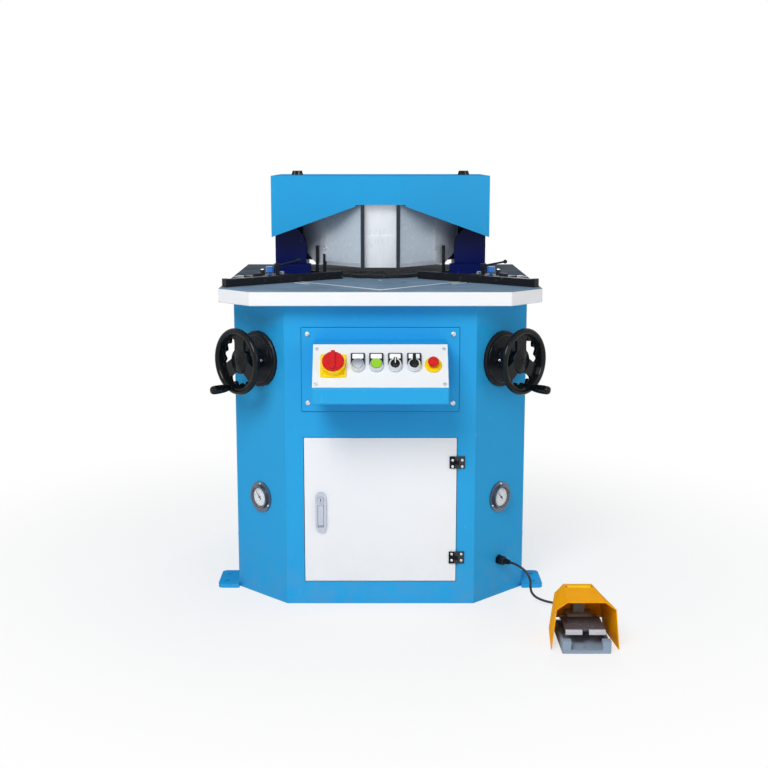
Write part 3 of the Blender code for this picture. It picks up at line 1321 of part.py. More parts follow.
def make_estop(face, sheet):
    """Yellow collar on the faceplate and the red mushroom button in it."""
    spot = frame("estop_axis", (ESTOP_SHARE * BOX_WIDTH, ESTOP_V, FACE_TOP), parent=face)
    bore = ESTOP_STEM_RADIUS + RUN_GAP
    sunk = -FACE_THICK / 2
    collar = turned([(bore, ESTOP_COLLAR_THICK), (ESTOP_COLLAR_RADIUS - SHEET, ESTOP_COLLAR_THICK),
                     (ESTOP_COLLAR_RADIUS, ESTOP_COLLAR_THICK - SHEET), (ESTOP_COLLAR_RADIUS, sunk),
                     (bore, sunk)],
                    ring=True)
    fuse(sheet, moved(collar, shift(ESTOP_SHARE * BOX_WIDTH, ESTOP_V, FACE_TOP)))
    head = ESTOP_COLLAR_THICK + ESTOP_TRAVEL_ROOM
    base = ESTOP_TRAVEL_ROOM
    radius = ESTOP_HEAD_RADIUS
    crown = [(radius * math.sin(turn), ESTOP_HEAD_PROUD - radius / 2 * (1 - math.cos(turn)))
             for turn in (0, math.pi / 6, math.pi / 3, math.pi / 2)]
    button = turned(crown + [(radius, head + SHEET), (radius - SHEET, head), (ESTOP_STEM_RADIUS, head),
                             (ESTOP_STEM_RADIUS, base), (0, base)])
    piece("estop_button", "red_plastic", button, on=spot)


def hinge_heights():
    """The middle heights of the two door hinges."""
    return (DOOR_BOTTOM + HINGE_INSET, DOOR_BOTTOM + DOOR_HEIGHT - HINGE_INSET)


def hinge_leaf(side, shares, sink=0):
    """A hinge leaf about the pin's axis with its knuckles, as bodies; Z is up."""
    knuckle = KNUCKLE_RADIUS
    clear = knuckle + RUN_GAP
    low = -HINGE_HEIGHT / 2
    bodies = [block(sided(side, clear, HINGE_LEAF_WIDTH), (knuckle - HINGE_THICK, knuckle + sink),
                    (low, low + HINGE_HEIGHT))]
    for start_share, end_share in shares:
        start = low + start_share * HINGE_HEIGHT
        end = low + end_share * HINGE_HEIGHT
        bodies.append(disc(knuckle, (start, end), sides=ROUND))
        bodies.append(block(sided(side, 0, clear + SHEET), (knuckle - HINGE_THICK / 2, knuckle - SEAT_GAP),
                            (start + SEAT_GAP, end - SEAT_GAP)))
    return bodies


def make_door():
    """Door pan with its hinge leaves, on the pin's axis, and its latch."""
    axis_y = CABINET_FRONT_Y - SEAT_GAP - KNUCKLE_RADIUS
    axis = frame("door_axis", (DOOR_WIDTH / 2, axis_y, 0))
    left = DOOR_GAP - DOOR_WIDTH
    bottom = DOOR_BOTTOM + DOOR_GAP
    top = DOOR_BOTTOM + DOOR_HEIGHT - DOOR_GAP
    front = CABINET_FRONT_Y - axis_y
    edge = DOOR_SKIN
    pan = piece("door_panel", "white_paint",
                block((left, -DOOR_GAP), (front, front + DOOR_RETURN), (bottom, top)), on=axis)
    cut(pan, block((left + edge, -DOOR_GAP - edge), (front + edge, front + DOOR_RETURN + OVERRUN),
                   (bottom + edge, top - edge)))
    low, first, second, high = HINGE_KNUCKLE_SHARES
    slack = SEAT_GAP / HINGE_HEIGHT
    for height, name in zip(hinge_heights(), ("lower", "upper")):
        place = shift(z=height)
        spot = frame("hinge_axis_" + name, (DOOR_WIDTH / 2, axis_y, height))
        fixed = hinge_leaf(1, ((low, first), (second, high)))
        pin = disc(HINGE_PIN_RADIUS, (SHEET - HINGE_HEIGHT / 2, HINGE_HEIGHT / 2 - SHEET), sides=SMALL)
        fuse(piece("hinge_" + name, "black_steel", fixed[0], on=spot), *fixed[1:], pin)
        swinging = hinge_leaf(-1, ((first + slack, second - slack),), SEAT_GAP + DOOR_SKIN / 2)
        fuse(pan, *[moved(body, place) for body in swinging])
        cut(pan, moved(disc(HINGE_PIN_RADIUS + RUN_GAP, (-HINGE_HEIGHT, HINGE_HEIGHT), sides=SMALL), place))
    make_latch(axis, front)


def make_latch(axis, front):
    """Latch on the door: a long case, the lever that lifts out of it, a button."""
    turn = (math.pi / 2, 0, 0)
    place = frame("latch_axes", (LATCH_X - DOOR_WIDTH / 2, front - SEAT_GAP, LATCH_Z), turn, parent=axis)
    pad = plate(stadium(LATCH_LENGTH, LATCH_WIDTH), (0, LATCH_THICK))
    case = piece("latch_case", "galvanised", pad, on=place)
    floor = LATCH_THICK - LEVER_THICK
    pocket_low = -LATCH_LENGTH / 2 + LATCH_WIDTH / 2 - LEVER_DROP
    lever_low = pocket_low + LEVER_THICK
    lever_high = lever_low + LEVER_LENGTH
    half = LEVER_WIDTH / 2 + RUN_GAP
    button = (LATCH_BUTTON_RISE, LATCH_BUTTON_RADIUS + RUN_GAP)
    cut(case,
        block((-half, half), (pocket_low, lever_high + RUN_GAP), (floor, LATCH_THICK + OVERRUN)),
        disc(button[1], (floor, LATCH_THICK + OVERRUN), 0, button[0], sides=ROUND))
    hinge = frame("lever_axis", (0, lever_low, floor + SEAT_GAP), parent=place)
    half = LEVER_WIDTH / 2
    bar = block((-half, half), (0, LEVER_LENGTH), (0, LEVER_THICK))
    piece("latch_lever", "galvanised", rounded(bar, SHEET / 2), on=hinge)
    spot = frame("button_axis", (0, LATCH_BUTTON_RISE, LATCH_THICK), parent=place)
    cap = disc(LATCH_BUTTON_RADIUS, (LATCH_BUTTON_PROUD - LEVER_THICK, LATCH_BUTTON_PROUD), sides=ROUND)
    piece("latch_button", "chrome", cap, on=spot)


def make_gland():
    """Hexagonal cable gland and its tapering strain relief, on the right corner."""
    tip = SEAT_GAP + GLAND_LENGTH + GLAND_HEX_THICK
    seat = SEAT_GAP
    body = disc(GLAND_HEX_RADIUS, (seat, seat + GLAND_HEX_THICK), sides=6)
    gland = piece("cable_gland", "black_plastic", moved(body, corner_matrix(1, GLAND_Z)))
    relief = turned([(0, tip), (GLAND_TIP_RADIUS, tip), (GLAND_BODY_RADIUS, seat + GLAND_HEX_THICK + SHEET),
                     (GLAND_BODY_RADIUS, -SHEET - SHEET), (0, -SHEET - SHEET)], ROUND)
    fuse(gland, moved(relief, corner_matrix(1, GLAND_Z)))


def smooth_route(points, spacing):
    """Points about this far apart on a smooth curve through the route's own."""
    route = [Vector(point) for point in points]
    ends = [2 * route[0] - route[1]] + route + [2 * route[-1] - route[-2]]
    fine = []
    for before, start, end, after in zip(ends, ends[1:], ends[2:], ends[3:]):
        steps = max(1, round((end - start).length / spacing))
        for step in range(steps):
            t = step / steps
            fine.append(0.5 * (2 * start + (end - before) * t
                               + (2 * before - 5 * start + 4 * end - after) * t ** 2
                               + (3 * start - before - 3 * end + after) * t ** 3))
    fine.append(route[-1])
    return fine


def make_cord():
    """Cord from the gland down to the floor and round to the foot switch."""
    piece("foot_cord", "cord_rubber", tube(smooth_route(CORD_ROUTE, CORD_SPACING), CORD_RADIUS))


def make_foot_switch():
    """Foot switch: a tray with its housing, the treadle and the toe shield."""
    base = frame("foot_switch", (SWITCH_X, SWITCH_FRONT_Y, 0))
    half = SWITCH_WIDTH / 2
    length = SWITCH_LENGTH
    tub = block((-half, half), (0, length), (0, SWITCH_WALL_HEIGHT))
    rounded(tub, SWITCH_WALL / 2, 2, upright=True)
    tray = piece("foot_switch_base", "switch_grey", tub, on=base)
    wall = SWITCH_WALL
    house_end = SHIELD_REAR_Y - SHIELD_SHEET - RUN_GAP - SWITCH_FRONT_Y
    house_y = house_end - SWITCH_HOUSING_LENGTH
    house = SWITCH_HOUSING_WIDTH / 2
    cut(tray, block((wall - half, half - wall), (-OVERRUN, length - wall),
                    (SWITCH_FLOOR, SWITCH_WALL_HEIGHT + OVERRUN)))
    for side in (-1, 1):
        corner = sided(side, half - SWITCH_BLOCK, half)
        fuse(tray, block(corner, (SEAT_GAP, SWITCH_BLOCK),
                         (SWITCH_FLOOR / 2, SWITCH_WALL_HEIGHT + SWITCH_BLOCK_RISE)))
    housing = block((-house, house), (house_y, house_end), (SWITCH_FLOOR / 2, SWITCH_HOUSING_HEIGHT))
    rounded(housing, wall / 2, 2)
    pins = disc(PIVOT_RADIUS, (-TREADLE_WIDTH / 2, TREADLE_WIDTH / 2), sides=ROUND)
    pivot_y = house_y + 2 * wall
    across = shift(y=pivot_y, z=PIVOT_Z) @ Matrix.Rotation(math.pi / 2, 4, "Y")
    post_y = (house_end - SHIELD_BRACKET, house_end)
    reach = (SWITCH_FRONT_Y + post_y[1] - SHIELD_FRONT_Y) / (SHIELD_REAR_Y - SHIELD_FRONT_Y)
    crown = SHIELD_FRONT_POINTS[0][1] + reach * (SHIELD_REAR_POINTS[0][1] - SHIELD_FRONT_POINTS[0][1])
    post_half = SHIELD_BRACKET / 2
    post = block((-post_half, post_half), post_y,
                 (SWITCH_HOUSING_HEIGHT - wall, crown - SHIELD_SHEET - RUN_GAP))
    fuse(tray, housing, moved(pins, across), post)
    cut(tray, disc(SWITCH_HOLE_RADIUS, (-OVERRUN, SWITCH_FLOOR + OVERRUN), 0, SWITCH_BLOCK, sides=ROUND))
    make_treadle(base, pivot_y)
    make_shield()


def make_treadle(base, pivot_y):
    """Treadle with a turned-down lip, grip ribs and two ears on the pivot."""
    axle = frame("treadle_axis", (0, pivot_y, PIVOT_Z), parent=base)
    half = TREADLE_WIDTH / 2
    house = SWITCH_HOUSING_WIDTH / 2
    rear = -SWITCH_WALL * 2 - RUN_GAP
    top = TREADLE_FRONT_Z - PIVOT_Z + TREADLE_THICK / 2
    front = -TREADLE_LENGTH
    lip = TREADLE_LIP
    profile = [(rear, top), (rear, top - TREADLE_THICK), (front + TREADLE_THICK, top - TREADLE_THICK),
               (front + TREADLE_THICK, top - lip), (front, top - lip), (front, top - TREADLE_THICK / 2),
               (front + TREADLE_THICK / 2, top)]
    treadle = piece("foot_treadle", "treadle_brown", side_plate(profile, (-half, half)), on=axle)
    ears = []
    bores = []
    for side in (-1, 1):
        span = sided(side, house + RUN_GAP, half - TREADLE_THICK)
        ears.append(block(span, (rear - TREADLE_THICK, 2 * PIVOT_RADIUS),
                          (-2 * PIVOT_RADIUS, top - TREADLE_THICK / 2)))
    bore = disc(PIVOT_RADIUS + RUN_GAP, (-half - OVERRUN, half + OVERRUN), sides=ROUND)
    bores.append(moved(bore, Matrix.Rotation(math.pi / 2, 4, "Y")))
    ribs = []
    pitch = (TREADLE_LENGTH + rear) / (TREADLE_RIBS + 1)
    rib = TREADLE_THICK / 3
    for number in range(1, TREADLE_RIBS + 1):
        middle = front + number * pitch
        ribs.append(block((lip - half, half - lip), (middle - rib, middle + rib), (top - rib, top + rib)))
    notch = TREADLE_NOTCH / 2
    fuse(treadle, gathered(ears), gathered(ribs))
    cut(treadle, bores[0], block((-notch, notch), (front - OVERRUN, front + lip),
                                 (-SWITCH_HOUSING_HEIGHT, top + OVERRUN)))


def make_shield():
    """Orange toe shield over the treadle: a top, flared sides and a back."""
    loops = []
    for y, points in ((SHIELD_FRONT_Y, SHIELD_FRONT_POINTS), (SHIELD_REAR_Y, SHIELD_REAR_POINTS)):
        crown, shoulder, foot = points
        knee_z = SHIELD_BACK_BOTTOM
        share = (shoulder[1] - knee_z) / shoulder[1]
        knee = (shoulder[0] + (foot[0] - shoulder[0]) * share, knee_z)
        right = [crown, shoulder, knee, (foot[0], foot[1] + SHIELD_FOOT_GAP)]
        section = [(-x, z) for x, z in reversed(right)] + right
        loops.append([(SWITCH_X + x, y, z) for x, z in section])
    count = len(loops[0])
    back = [tuple(count + step for step in range(1, count - 1))]
    shell("foot_switch_hood", "orange_paint", loops, back, SHIELD_SHEET)


def make_power_unit():
    """Oil tank with its lid, filler and valve block, and the pump motor on it."""
    width, depth, height = TANK_SIZE
    half = width / 2
    front_y = TANK_Y - depth / 2
    tank = rounded(block((-half, half), (front_y, front_y + depth), (PAN_TOP, PAN_TOP + height)),
                   TANK_ROUND, 2, upright=True)
    body = piece("oil_tank", "tank_grey", tank)
    over = TANK_LID_OVERHANG
    lid_top = PAN_TOP + height + TANK_LID
    lid = block((-half - over, half + over), (front_y - over, front_y + depth + over),
                (PAN_TOP + height - SHEET, lid_top))
    filler_x = half - 2 * over - FILLER_RADIUS
    filler = disc(FILLER_RADIUS, (lid_top - SHEET, lid_top + FILLER_HEIGHT), filler_x, TANK_Y)
    valve_z = lid_top - SHEET + VALVE_SIZE[2] / 2
    valve = box(VALVE_SIZE, (VALVE_X, TANK_Y, valve_z))
    coil = disc(SOLENOID_RADIUS, (-SHEET, SOLENOID_LENGTH), sides=ROUND)
    lying = shift(VALVE_X, TANK_Y - VALVE_SIZE[1] / 2, valve_z) @ Matrix.Rotation(math.pi / 2, 4, "X")
    fuse(body, lid, filler, valve, moved(coil, lying))

    seat = lid_top + SEAT_GAP
    ribs_low = seat + MOTOR_FLANGE_THICK
    pitch = (MOTOR_HEIGHT - MOTOR_FLANGE_THICK) / (2 * MOTOR_RIBS + 1)
    crown = seat + MOTOR_HEIGHT + MOTOR_COWL_HEIGHT
    root = MOTOR_RADIUS - MOTOR_RIB_DEPTH
    outline = [(0, crown), (MOTOR_RADIUS, crown), (MOTOR_RADIUS, seat + MOTOR_HEIGHT)]
    for number in range(MOTOR_RIBS):
        high = seat + MOTOR_HEIGHT - (2 * number + 1) * pitch
        outline += [(root, seat + MOTOR_HEIGHT - 2 * number * pitch), (root, high), (MOTOR_RADIUS, high),
                    (MOTOR_RADIUS, high - pitch)]
    outline += [(root, ribs_low + pitch), (root, ribs_low),
                (MOTOR_FLANGE_RADIUS, ribs_low), (MOTOR_FLANGE_RADIUS, seat), (0, seat)]
    motor = moved(turned(outline, ROUND), shift(MOTOR_X, TANK_Y))
    piece("pump_motor", "tank_grey", motor)


def make_electrical_plate():
    """Galvanised plate on the floor pan, behind the door, with rails and devices."""
    half = PANEL_WIDTH / 2
    low = PAN_TOP
    face = block((-half, half), (PANEL_Y, PANEL_Y + PANEL_THICK), (low, low + PANEL_HEIGHT))
    panel = piece("electrical_plate", "galvanised", face)
    fuse(panel, block((-half, half), (PANEL_Y + SHEET / 2, PANEL_Y + PANEL_FOOT), (low, low + PANEL_THICK)))
    rails = []
    devices = []
    for share, count in zip(RAIL_LEVEL_SHARES, DEVICE_COUNTS):
        level = low + share * PANEL_HEIGHT
        rail_y = PANEL_Y - RAIL_PROUD
        margin = RAIL_HEIGHT / 2
        rails.append(block((margin - half, half - margin), (rail_y, PANEL_Y + SHEET / 2),
                           (level - RAIL_HEIGHT / 2, level + RAIL_HEIGHT / 2)))
        row = []
        for number in range(count):
            x = (number - (count - 1) / 2) * (DEVICE_WIDTH + SHEET)
            row.append(block((x - DEVICE_WIDTH / 2, x + DEVICE_WIDTH / 2),
                             (rail_y - DEVICE_DEPTH, rail_y + SHEET),
                             (level - DEVICE_HEIGHT / 2, level + DEVICE_HEIGHT / 2)))
        devices.append(gathered(row))
    fuse(panel, gathered(rails), *devices)


def main():
    """Builds the whole notcher, sub-part by sub-part."""
    clear_scene()
    make_cabinet()
    make_table()
    make_strip()
    make_die()
    make_press_frame()
    make_ram()
    make_cylinder()
    make_hood()
    make_hood_knobs()
    make_guard()
    for side, name in ((-1, "left"), (1, "right")):
        make_wheel_flange(side, name)
        make_handwheel(side, name)
        make_gauge(side, name)
        make_fence(side, name)
    make_control_housing()
    face, sheet = make_faceplate()
    make_main_switch(face)
    make_devices(face, sheet)
    make_estop(face, sheet)
    make_door()
    make_gland()
    make_cord()
    make_foot_switch()
    make_power_unit()
    make_electrical_plate()
    bpy.context.view_layer.update()


main()
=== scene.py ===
"""Looks of a floor-standing corner notcher, laid over its solid model.

Metres, +Z up, +X to the operator's right, +Y to the back, origin on the floor
under the middle of the cabinet.
"""
import json
import math

import bmesh
import bpy
from bpy.props import FloatProperty, FloatVectorProperty, IntProperty, PointerProperty
from bpy.types import Operator, Panel, PropertyGroup
from mathutils import Matrix, Vector

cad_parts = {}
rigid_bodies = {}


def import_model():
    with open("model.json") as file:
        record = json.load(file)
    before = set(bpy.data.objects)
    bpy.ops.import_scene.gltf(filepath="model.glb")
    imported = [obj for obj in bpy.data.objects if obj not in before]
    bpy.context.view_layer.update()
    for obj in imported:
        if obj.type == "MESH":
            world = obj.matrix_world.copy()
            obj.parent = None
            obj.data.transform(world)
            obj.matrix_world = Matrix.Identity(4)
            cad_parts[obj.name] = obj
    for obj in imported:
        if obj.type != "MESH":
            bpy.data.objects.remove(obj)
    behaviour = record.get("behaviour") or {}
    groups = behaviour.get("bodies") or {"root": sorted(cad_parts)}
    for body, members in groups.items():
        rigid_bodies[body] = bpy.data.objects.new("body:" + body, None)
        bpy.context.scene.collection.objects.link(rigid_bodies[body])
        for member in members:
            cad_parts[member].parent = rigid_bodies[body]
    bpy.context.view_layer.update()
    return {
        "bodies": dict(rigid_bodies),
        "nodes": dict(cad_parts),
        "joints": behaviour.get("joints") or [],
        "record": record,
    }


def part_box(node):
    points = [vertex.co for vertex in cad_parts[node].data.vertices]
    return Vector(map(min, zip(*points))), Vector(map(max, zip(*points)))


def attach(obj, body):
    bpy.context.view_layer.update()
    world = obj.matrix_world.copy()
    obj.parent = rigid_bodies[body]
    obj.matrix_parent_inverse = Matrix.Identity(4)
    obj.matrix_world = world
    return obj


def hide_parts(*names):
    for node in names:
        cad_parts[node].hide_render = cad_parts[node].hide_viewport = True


bl_info = {
    "name": "Corner Notcher Looks",
    "version": (1, 0, 0),
    "blender": (4, 5, 0),
    "location": "3D View > Sidebar > Notcher",
    "description": "Finishes and fine pieces for a corner notcher's solid model",
    "category": "Object",
}

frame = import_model()
NODES = frame["nodes"]

ROOT_HALF = math.sqrt(0.5)
SIDES = ((-1, "left"), (1, "right"))

# Places on the solid model, in metres
TABLE_TOP = 0.905
DOWEL_Y = -0.127
CORNER_X, CORNER_Y = 0.345, -0.3225
GAUGE_Z = 0.296
GAUGE_FLOOR = 0.0060
GAUGE_FLANGE = 0.004
GAUGE_SCREW_REACH = 0.0395
GAUGE_MARK_REACH, GAUGE_NUMBER_REACH, GAUGE_UNIT_UP = 0.0250, 0.0185, -0.0105
GLAND_Z = 0.107
POST_TOP, POST_REACH, POST_BACK = 1.1236, 0.075, -0.03
DOOR_AXIS = (0.217, -0.4048)
DOOR_FACE = -0.4007
HINGE_HEIGHTS = (0.140, 0.415)
LEAF_FACE = DOOR_AXIS[1] - 0.0019
LEAF_SCREW_ACROSS, LEAF_SCREW_UP = 0.0135, 0.0092
LATCH_X, LATCH_Z = -0.169, 0.310
SHIELD_TOP = (0.534, -0.6250, 0.1266)
TREAD_BEHIND, TREAD_FRONT = -0.742, -0.7485
# Where the guards' painted shade starts and where it is full
GUARD_CLEAR, GUARD_SHADED = 0.165, 0.205
PLATE_HALF = (0.2195, 0.118)

# The leaning faceplate and its devices
FACE_MIDDLE = (0, -0.538, 0.714)
FACE_LEAN = math.atan2(0.086, 0.106)
FACE_TOP = 0.0023
FACE_PROUD = FACE_TOP + 0.0005
STOP_LEFT = 0.115
MAIN_SWITCH = (-0.1259, -0.0015)
DEVICE_PLACES = (-0.0604, -0.0110, 0.0395, 0.0904)
DEVICE_UP = -0.001
DEVICE_RADII = (0.0145, 0.0145, 0.0123, 0.0123)
BEZEL_HALF = 0.0184

# The handwheels, from the chamfer outwards
WHEEL_Z = 0.701
HUB_END = 0.0798
RIM_PLANE = 0.080
RIM_RADIUS, RIM_THICK = 0.0850, 0.0093
WEB_PLANE = 0.068
WEB_HALF = 0.005
GRIP_ORBIT = 0.078
GRIP_SEAT = 0.0907
FLANGE_FACE = 0.010

# The fences and their carriages
FENCE_CORNER = (0.433, -0.339)
FENCE_TURN = 39.5
FENCE_DECK = 0.0203
SCALE_POINT = -0.405
SCALE_HALF = 0.0065

# The devices behind the door, in rows of (count, height)
DEVICE_FRONT = -0.240
DEVICE_BACK = -0.1783
DEVICE_PITCH = 0.047
DEVICE_ROWS = ((7, 0.1353), (3, 0.2471), (4, 0.3589))
BREAKERS_FROM = 0.315
TERMINALS = (-0.0125, 0, 0.0125)
TERMINAL_UP = 0.0300
WIRE_UP = 0.0370

# Edges that are shaded sharp, edges that are softened, and how far a small
# piece reaches under the face that it sits on
SHARP_ANGLE = math.radians(40)
EDGE_ANGLE = math.radians(35)
UNDER = -0.0002


def linear(red, green, blue):
    """A colour seen on a screen, from 0 to 255, as scene values."""
    def one(value):
        value /= 255
        return value / 12.92 if value <= 0.04045 else ((value + 0.055) / 1.055) ** 2.4
    return (one(red), one(green), one(blue))


def linked(name, data):
    """A new object of the scene."""
    thing = bpy.data.objects.new(name, data)
    bpy.context.scene.collection.objects.link(thing)
    return thing


def colour_setting(name, description, *screen):
    """A colour setting, by its values on a screen."""
    return FloatVectorProperty(name=name, description=description, subtype="COLOR", size=3,
                               default=linear(*screen))


def length_setting(name, description, metres):
    """A length setting in metres."""
    return FloatProperty(name=name, description=description, default=metres, unit="LENGTH")


class NotcherColours(PropertyGroup):
    """Colours of the paints and plastics."""
    blue: colour_setting("Cabinet blue", "Powder coat on cabinet and hood", 44, 164, 225)
    navy: colour_setting("Frame navy", "Paint on the press frame", 15, 26, 88)
    white: colour_setting("White", "Powder coat on door and table edge", 240, 242, 245)
    table: colour_setting("Table steel", "Ground and oiled table top", 124, 150, 173)
    orange: colour_setting("Shield orange", "Paint on the foot switch's shield", 255, 171, 4)
    red: colour_setting("Stop red", "Main switch knob and emergency stop", 206, 20, 26)
    yellow: colour_setting("Switch yellow", "Main switch's plate and stop's collar",
                           250, 212, 14)
    green: colour_setting("Button green", "Start button", 146, 204, 48)


class NotcherSizes(PropertyGroup):
    """Sizes of the fine pieces and the stage."""
    paint_grain: length_setting("Paint grain", "Width of the powder coat's pebbles", 0.0016)
    edge_round: length_setting("Folded edge", "Radius of the sheet metal's folds", 0.003)
    bolt_radius: length_setting("Bolt head", "Radius of the ram's bolt heads", 0.0065)
    screw_radius: length_setting("Panel screw", "Radius of the small panel screws", 0.0032)
    cord_diameter: length_setting("Cord", "Diameter of the foot switch's cord", 0.007)
    scallops: IntProperty(name="Scallops", description="Finger scallops round each handwheel",
                          default=15)
    grip_length: length_setting("Grip", "Length of each handwheel's turning grip", 0.064)
    lens: FloatProperty(name="Lens", description="Focal length of the camera", default=59.7,
                        unit="CAMERA")
    floor_size: length_setting("Floor", "Width of the pale floor", 30.0)


def colours():
    """The scene's colour settings."""
    return bpy.context.scene.notcher_colours


def sizes():
    """The scene's size settings."""
    return bpy.context.scene.notcher_sizes


def maths(operation):
    """A method that adds a Math node of this kind."""
    def method(self, *others):
        return self.finish.node("Math", {"operation": operation}, self, *others).value
    return method


class Value:
    """A socket that takes part in sums; each sum adds its Math node."""
    __add__ = __radd__ = maths("ADD")
    __sub__ = maths("SUBTRACT")
    __mul__ = __rmul__ = maths("MULTIPLY")
    __pow__ = maths("POWER")
    __mod__ = maths("FLOORED_MODULO")
    __lt__ = maths("LESS_THAN")
    __gt__ = maths("GREATER_THAN")
    __abs__ = maths("ABSOLUTE")

    def __init__(self, finish, socket):
        self.finish = finish
        self.socket = socket

    def __rsub__(self, other):
        return self.finish.node("Math", {"operation": "SUBTRACT"}, other, self).value

    def clamp(self):
        return self.finish.node("Clamp", {}, self, 0, 1).value

    def rise(self, start, end):
        """From 0 at start to 1 at end, eased, whichever is larger."""
        flip = start > end
        ends = (end, start, 1, 0) if flip else (start, end, 0, 1)
        return self.finish.node("MapRange", {"interpolation_type": "SMOOTHSTEP"}, self, *ends).value


class Made:
    """A node that was added, with its outputs by name."""

    def __init__(self, finish, node):
        self.finish = finish
        self.node = node

    @property
    def value(self):
        return self.out(0)

    def out(self, output):
        return Value(self.finish, self.node.outputs[output])


class Finish:
    """A material whose nodes are added by name of type."""

    def __init__(self, name, metallic=0.0, roughness=0.4, coat=0.0, **constants):
        self.material = bpy.data.materials.new(name)
        self.material.use_nodes = True
        self.tree = self.material.node_tree
        self.shader = self.tree.nodes["Principled BSDF"]
        self.fix("Metallic", metallic)
        self.fix("Roughness", roughness)
        self.fix("Coat Weight", coat)
        for key, value in constants.items():
            self.fix(key.replace("_", " "), value)
        self.place = self.node("TexCoord").out("Object")

    def fix(self, name, value):
        """A socket of the shader that is the same all over."""
        self.shader.inputs[name].default_value = value

    def node(self, kind, settings=None, *inputs, **named):
        """Adds a node: its settings first, then the values or links of its sockets."""
        node = self.tree.nodes.new("ShaderNode" + kind)
        for key, value in (settings or {}).items():
            setattr(node, key, value)
        for key, value in (*enumerate(inputs), *named.items()):
            self.feed(node.inputs[key], value)
        return Made(self, node)

    def feed(self, socket, value):
        """Links a value to a socket, or sets the socket to a constant."""
        if isinstance(value, Made):
            value = value.value
        if isinstance(value, Value):
            self.tree.links.new(value.socket, socket)
            return
        if socket.type == "RGBA" and len(value) == 3:
            value = (*value, 1)
        socket.default_value = value

    def fed(self, name):
        """What a socket of the shader is linked to so far."""
        return Value(self, self.shader.inputs[name].links[0].from_socket)

    def noise(self, size, detail=2, stretch=None):
        """Cloudy values from 0 to 1 whose patches are about this size."""
        place = self.place
        if stretch:
            place = self.node("VectorMath", {"operation": "MULTIPLY"}, place, stretch).value
        return self.node("TexNoise", {}, Vector=place, Scale=1 / size, Detail=detail).value

    def cells(self, size, output="Distance"):
        """Distance to the nearest of points about this far apart, or its Color."""
        return self.node("TexVoronoi", {}, Vector=self.place, Scale=1 / size).out(output)

    def parts(self, vector=None):
        """The X, Y and Z of a vector, by default the place on the object."""
        split = self.node("SeparateXYZ", {}, vector or self.place)
        return split.out("X"), split.out("Y"), split.out("Z")

    def mix(self, factor, first, second):
        """A colour between two, by a factor from 0 to 1."""
        node = self.node("Mix", {"data_type": "RGBA"}).node
        self.feed(node.inputs["Factor"], factor)
        self.feed(node.inputs[6], first)
        self.feed(node.inputs[7], second)
        return Value(self, node.outputs[2])

    def tinted(self, colour, factor):
        """The colour made darker or lighter by a factor near 1."""
        scale = self.node("CombineXYZ", {}, factor, factor, factor).value
        return self.node("VectorMath", {"operation": "MULTIPLY"}, colour, scale).value

    def upright(self):
        """The upward part of the surface's normal, 1 on a level top."""
        return self.parts(self.node("TexCoord").out("Normal"))[2]

    def vary(self, name, value):
        """A socket of the shader that differs from place to place."""
        self.feed(self.shader.inputs[name], value)

    def colour(self, value):
        self.vary("Base Color", value)

    def rough(self, value):
        self.vary("Roughness", value)

    def bump(self, height, depth=0.001, strength=1.0):
        """A relief of this depth in metres where height goes from 0 to 1."""
        node = self.node("Bump", {}, Strength=strength, Distance=depth)
        self.feed(node.node.inputs["Height"], height)
        self.feed(self.shader.inputs["Normal"], node)
        return self


# Materials of the real surfaces

def powder_coat(name, colour, grime=0.12, roughness=0.32):
    """Sprayed and baked paint: fine pebbles, faint clouds, dust low down."""
    paint = Finish(name, roughness=roughness, Coat_Roughness=0.22, Specular_IOR_Level=0.0)
    paint.vary("Coat Weight", 0.22 - paint.upright().rise(0.6, 0.95) * 0.22)
    grain = sizes().paint_grain
    clouds = paint.noise(0.35, 3)
    specks = paint.noise(0.02, 4)
    _, _, height = paint.parts()
    low = height.rise(0.22, 0.0) * grime * paint.noise(0.05, 5).rise(0.35, 0.7)
    scuffs = paint.noise(0.009, 6, stretch=(1, 1, 0.3)).rise(0.7, 0.76) * 0.12
    shade = paint.tinted(colour, 0.955 + clouds * 0.07 + specks * 0.02)
    dusty = paint.mix(low, shade, linear(150, 146, 138))
    paint.colour(paint.mix(scuffs, dusty, linear(205, 212, 218)))
    paint.rough(roughness - 0.04 + clouds * 0.1 + low * 0.4 + scuffs)
    pebbles = paint.cells(grain) * 0.6 + paint.noise(grain * 3, 2) * 0.4
    return paint.bump(pebbles, 0.00012, 0.6)


def sheet_paint(name, colour, other, place_of_other, grime=0.12):
    """Powder coat on one welded piece, with another finish where the maker put one."""
    paint = powder_coat(name, colour, grime)
    where = place_of_other(*paint.parts())
    other = other(*paint.parts(), paint) if callable(other) else other
    paint.colour(paint.mix(where, paint.fed("Base Color"), other))
    paint.rough(paint.fed("Roughness") - where * 0.06)
    return paint


def guard_posts(x, y, z):
    """Where the hood's two steel posts stand in front of the ram."""
    return (z < POST_TOP) * (abs(x) < POST_REACH) * (y < POST_BACK)


def door_hinges(_, y, __):
    """Where the hinges' leaves lie on the door's face."""
    return y < DOOR_FACE


def face_sum(y, z, along_y, along_z):
    """A place's distance from the faceplate's middle, in the direction given."""
    return (y - FACE_MIDDLE[1]) * along_y + (z - FACE_MIDDLE[2]) * along_z


def proud(y, z):
    """Where a piece stands out of the faceplate."""
    return face_sum(y, z, -math.cos(FACE_LEAN), math.sin(FACE_LEAN)) > FACE_PROUD


def bezels(x, y, z):
    """Where the device frames stand proud of the faceplate."""
    return proud(y, z) * (x < STOP_LEFT)


def bezel_shades(_, y, z, paint):
    """Black round the legend, silver at the foot of each device frame."""
    up = face_sum(y, z, math.sin(FACE_LEAN), math.cos(FACE_LEAN))
    return paint.mix(up.rise(0.002, 0.006), linear(198, 206, 214), linear(30, 33, 42))


